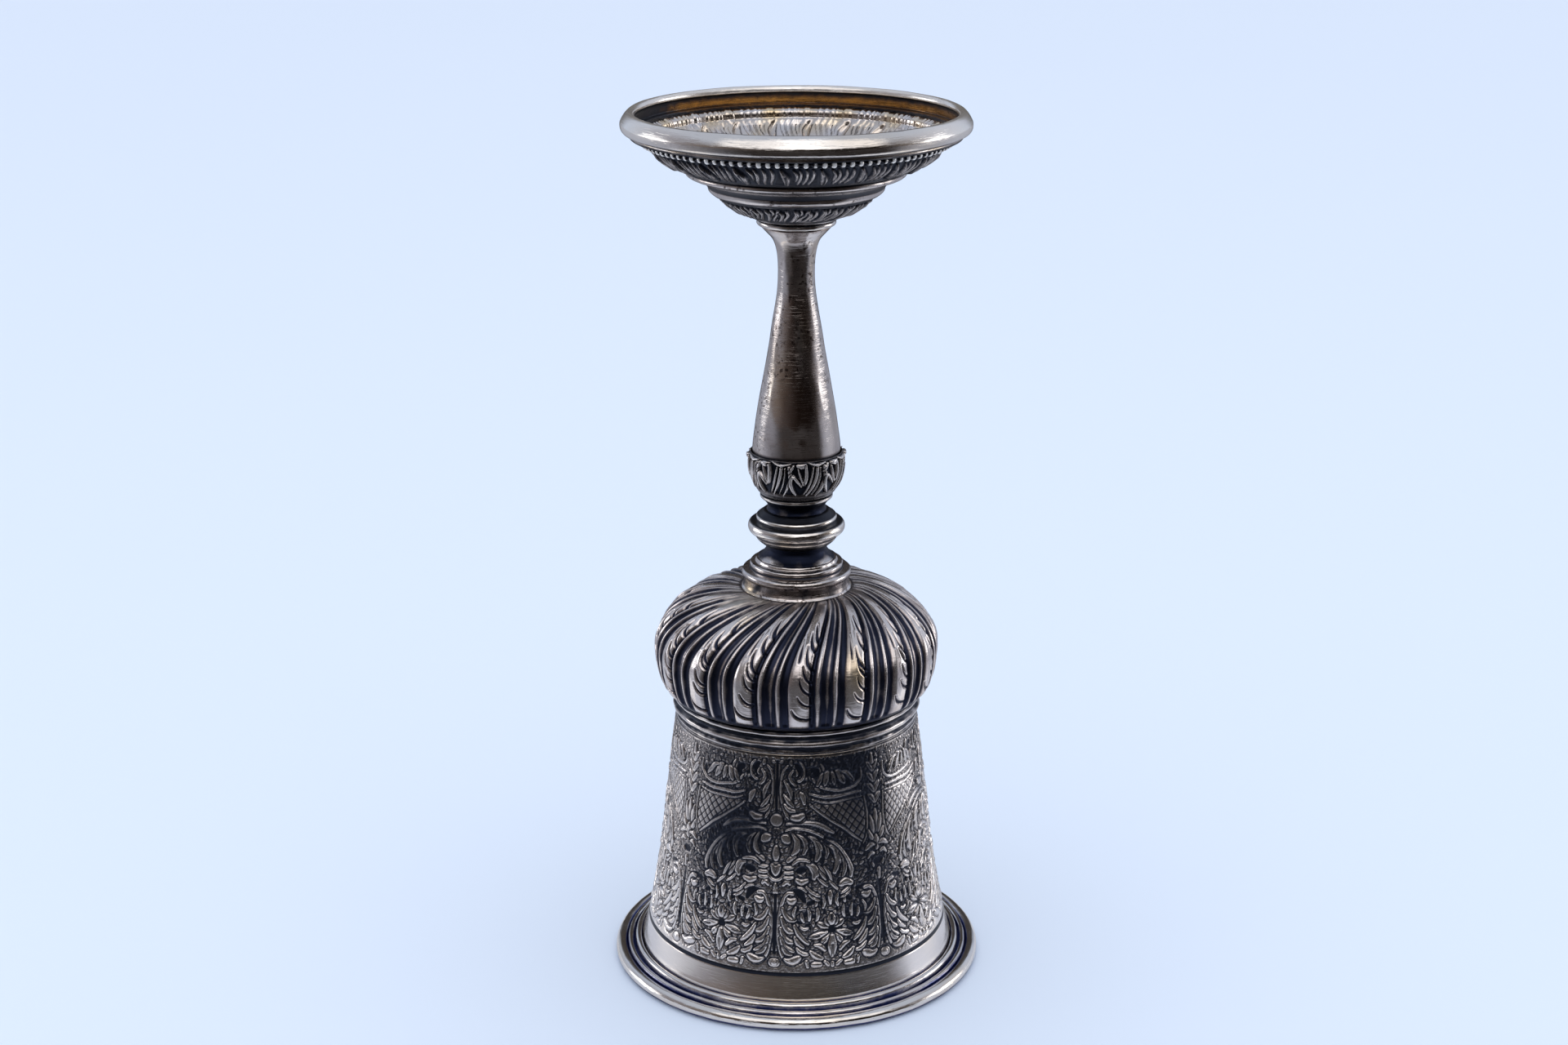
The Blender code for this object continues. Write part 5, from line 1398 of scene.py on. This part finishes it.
def ring_section(r_in, r_out, z0, z1, b=0.12):
    return [(r_in, z0), (r_out - b, z0), (r_out, z0 + b), (r_out, z1 - b), (r_out - b, z1), (r_in, z1)]


turned("stem_lower_bush_turned", "stem_lower_bush", ring_section(2.3, 6.3, 96.4, 98.2), BRASS, "brass_fittings",
       columns=96, step=0.12, soften=1, sharp=40)
turned("stem_upper_bush_turned", "stem_upper_bush", ring_section(2.3, 3.85, 138.45, 139.5), BRASS, "brass_fittings",
       columns=96, step=0.12, soften=1, sharp=40)
turned("foot_boss_plate_turned", "foot_boss_plate", ring_section(2.3, 6.4, 142.05, 142.95, 0.25), SHADED,
       "brass_fittings", columns=128, step=0.1, soften=1,
       relief=lambda A, R, Z: (0.02 * wobble(A, Z, 101, 12, 0.2), {"patina_and_painted_light": 0.35 + 0.25 * wobble(A, Z, 102, 14, 0.4)}))
turned("foot_washer_turned", "foot_washer", ring_section(2.3, 4.6, 143.05, 143.8, 0.1), BRASS, "brass_fittings",
       columns=96, step=0.1, soften=1, sharp=40)


def hexagon(A, R, Z):
    flat = 4.1 * math.cos(math.pi / 6) / np.cos(np.mod(A, math.pi / 3) - math.pi / 6)
    chamfer = 3.95 - 0.9 * smoothstep(0.35, 0.0, np.minimum(Z - 144.0, 147.2 - Z)) * 0.35
    outer = R > 3.2
    return np.where(outer, np.minimum(flat, chamfer + 0.12) - R, 0.0) * (R > 3.0), {}


nut = [(2.05, 143.95), (3.3, 143.95), (4.1, 143.95), (4.1, 147.2), (3.3, 147.2), (2.05, 147.2)]
q = even(nut, 0.1, True, 0)
columns = 180
ang = np.arange(columns) / columns * TAU
AN, RN = np.meshgrid(ang, q[:, 0])
ZN = np.repeat(q[:, 1][:, None], columns, 1)
reach = 4.1 * math.cos(math.pi / 6) / np.cos(np.mod(AN, math.pi / 3) - math.pi / 6)
edge = np.minimum(ZN - 143.95, 147.2 - ZN)
limit = np.minimum(reach, 3.78 + 0.9 * edge)
RN = np.where(RN > 2.2, np.minimum(RN, limit), RN)
nut_obj = grid_piece("foot_nut_hex", RN, AN, ZN, True, {"patina_and_painted_light": 0.1 + 0 * RN}, 30)
place(nut_obj, "foot_nut", BRASS)


# --------------------------------------------------------------------- stage
def floor():
    mesh = bpy.data.meshes.new("floor")
    n = 96
    rings = [0.0, 0.05, 0.12, 0.3, 0.8, 2.0, 6.0, 14.0]
    verts = [(0, 0, 0)]
    for r in rings[1:]:
        verts += [(r * math.cos(TAU * i / n), r * math.sin(TAU * i / n), 0) for i in range(n)]
    faces = [(0, 1 + i, 1 + (i + 1) % n) for i in range(n)]
    for k in range(len(rings) - 2):
        b = 1 + k * n
        faces += [(b + i, b + n + i, b + n + (i + 1) % n, b + (i + 1) % n) for i in range(n)]
    mesh.from_pydata(verts, [], faces)
    material = bpy.data.materials.new("floor_paper")
    material.use_nodes = True
    n_ = Nodes(material.node_tree)
    shader = n_.nodes["Principled BSDF"]
    where = n_.new("ShaderNodeTexCoord").outputs["Object"]
    cloud = n_.noise(where, 1.5, 2.0)
    paper = n_.mix(cloud, (0.690, 0.800, 0.985), (0.705, 0.812, 0.990))
    # in reflections only the floor is painted: greyer near the piece, darker farther out, white at the sides and nearly
    # black in front of and behind it, as painted reflections of the room
    xyz = n_.new("ShaderNodeSeparateXYZ")
    n_.put(xyz.inputs[0], where)
    angle = n_.math("ARCTAN2", xyz.outputs[0], n_.math("MULTIPLY", xyz.outputs[1], -1.0))
    reach = n_.math("SQRT", n_.math("ADD", n_.math("POWER", xyz.outputs[0], 2.0), n_.math("POWER", xyz.outputs[1], 2.0)))
    left = n_.remap(angle, -1.6, -0.5)
    right = n_.remap(angle, 1.45, 1.05)
    front = n_.math("MULTIPLY", left, right)
    back = n_.remap(n_.math("ABSOLUTE", angle), 2.70, 2.95)
    glossy = n_.new("ShaderNodeLightPath").outputs["Is Glossy Ray"]
    painted_dark_reflection = n_.math("MULTIPLY", n_.math("MAXIMUM", front, back), n_.remap(reach, 0.055, 0.11))
    painted_dark_reflection = n_.math("MULTIPLY", painted_dark_reflection, glossy)
    far = n_.math("MULTIPLY", n_.remap(reach, 0.07, 0.22), glossy)
    side = n_.math("MULTIPLY", n_.remap(n_.math("ABSOLUTE", angle), 1.48, 1.68), n_.remap(n_.math("ABSOLUTE", angle), 2.02, 1.84))
    side = n_.math("MULTIPLY", side, n_.math("MULTIPLY", n_.remap(reach, 0.045, 0.065), n_.remap(reach, 0.20, 0.13)))
    side = n_.math("MULTIPLY", side, glossy)
    paper = n_.mix(n_.math("MULTIPLY", glossy, 0.85), paper, (0.66, 0.69, 0.77))
    paper = n_.mix(far, paper, (0.32, 0.33, 0.38))
    paper = n_.mix(side, paper, (1.0, 1.0, 1.0))
    n_.put(shader.inputs["Base Color"], n_.mix(painted_dark_reflection, paper, (0.016, 0.011, 0.010)))
    shader.inputs["Roughness"].default_value = 0.55
    shader.inputs["Specular IOR Level"].default_value = 0.2
    mesh.materials.append(material)
    obj = bpy.data.objects.new("floor", mesh)
    bpy.context.scene.collection.objects.link(obj)


floor()

scene = bpy.context.scene
world = bpy.data.worlds.new("studio")
scene.world = world
world.use_nodes = True
w = Nodes(world.node_tree)
background = w.nodes["Background"]
direction = w.new("ShaderNodeTexCoord").outputs["Generated"]
split = w.new("ShaderNodeSeparateXYZ")
w.put(split.inputs[0], direction)
dx, dy, dz = split.outputs


def lobe(vector, inner, outer, mirror=False):
    """1 inside a cone round a direction, 0 outside it."""
    x = w.math("ABSOLUTE", dx) if mirror else dx
    dot = w.math("MULTIPLY", x, vector[0])
    dot = w.math("MULTIPLY_ADD", dy, vector[1], dot)
    dot = w.math("MULTIPLY_ADD", dz, vector[2], dot)
    return w.remap(dot, math.cos(math.radians(outer)), math.cos(math.radians(inner)))


def toward(azimuth, elevation):
    a, e = math.radians(azimuth), math.radians(elevation)
    return (math.sin(a) * math.cos(e), -math.cos(a) * math.cos(e), math.sin(e))


# walls of the room round the piece: dark where the camera stands, pale at the
# sides, and a smaller dark gap behind
azimuth = w.math("ARCTAN2", dx, w.math("MULTIPLY", dy, -1.0))
ramp = w.new("ShaderNodeValToRGB")
w.put(ramp.inputs[0], w.math("MULTIPLY_ADD", azimuth, 1 / TAU, 0.5))
WALL = (
    (-180, (0.05, 0.045, 0.045)), (-160, (0.06, 0.055, 0.055)), (-148, (0.48, 0.55, 0.69)), (-128, (0.41, 0.44, 0.52)),
    (-92, (0.26, 0.25, 0.28)), (-62, (0.18, 0.155, 0.15)), (-36, (0.075, 0.058, 0.053)), (-14, (0.032, 0.023, 0.020)),
    (4, (0.014, 0.009, 0.007)), (44, (0.010, 0.007, 0.006)), (62, (0.035, 0.029, 0.027)), (80, (0.20, 0.18, 0.18)),
    (98, (0.48, 0.48, 0.53)), (122, (0.55, 0.57, 0.65)), (148, (0.48, 0.54, 0.67)), (160, (0.06, 0.055, 0.055)),
)
stops = ramp.color_ramp.elements
for i, (angle, colour) in enumerate(WALL):
    stop = stops[i] if i < 2 else stops.new(0.5)
    stop.position = (angle + 180) / 360
    stop.color = (*colour, 1.0)
last = stops.new(1.0)
last.color = (0.05, 0.045, 0.045, 1.0)
sky = ramp.outputs[0]
# pale ceiling, a soft box over the camera, and one at each side
sky = w.mix(w.remap(dz, 0.48, 0.75), sky, (0.48, 0.52, 0.61))
sky = w.mix(lobe(toward(6, 52), 14, 30), sky, (1.55, 1.5, 1.5))
for side in (-36, 46):
    sky = w.mix(lobe(toward(side, 48), 10, 24), sky, (1.05, 1.02, 1.02))
sky = w.mix(lobe(toward(103, 6), 8, 19), sky, (3.2, 3.15, 3.15))
sky = w.mix(lobe(toward(-106, 6), 8, 18), sky, (2.8, 2.8, 2.85))
path = w.new("ShaderNodeLightPath")
sky = w.mix(path.outputs["Is Diffuse Ray"], sky, (1.115, 1.12, 1.14))
sky = w.mix(path.outputs["Is Camera Ray"], sky, (0.70, 0.81, 1.0))
w.put(background.inputs["Color"], sky)
background.inputs["Strength"].default_value = 1.0
world.cycles.sampling_method = "NONE"

camera_data = bpy.data.cameras.new("camera")
camera = bpy.data.objects.new("camera", camera_data)
scene.collection.objects.link(camera)
camera_data.sensor_width = 36.0
camera_data.lens = 58.16
camera_data.shift_x = -15.2 / 1920.0
camera_data.shift_y = -1.3 / 1920.0
camera_data.clip_start = 0.01
camera_data.clip_end = 50.0
camera.location = (0.0, -0.4376, 0.2266)
camera.rotation_euler = (math.radians(90 - 17.91), 0.0, 0.0)
scene.camera = camera
scene.view_settings.view_transform = "Standard"
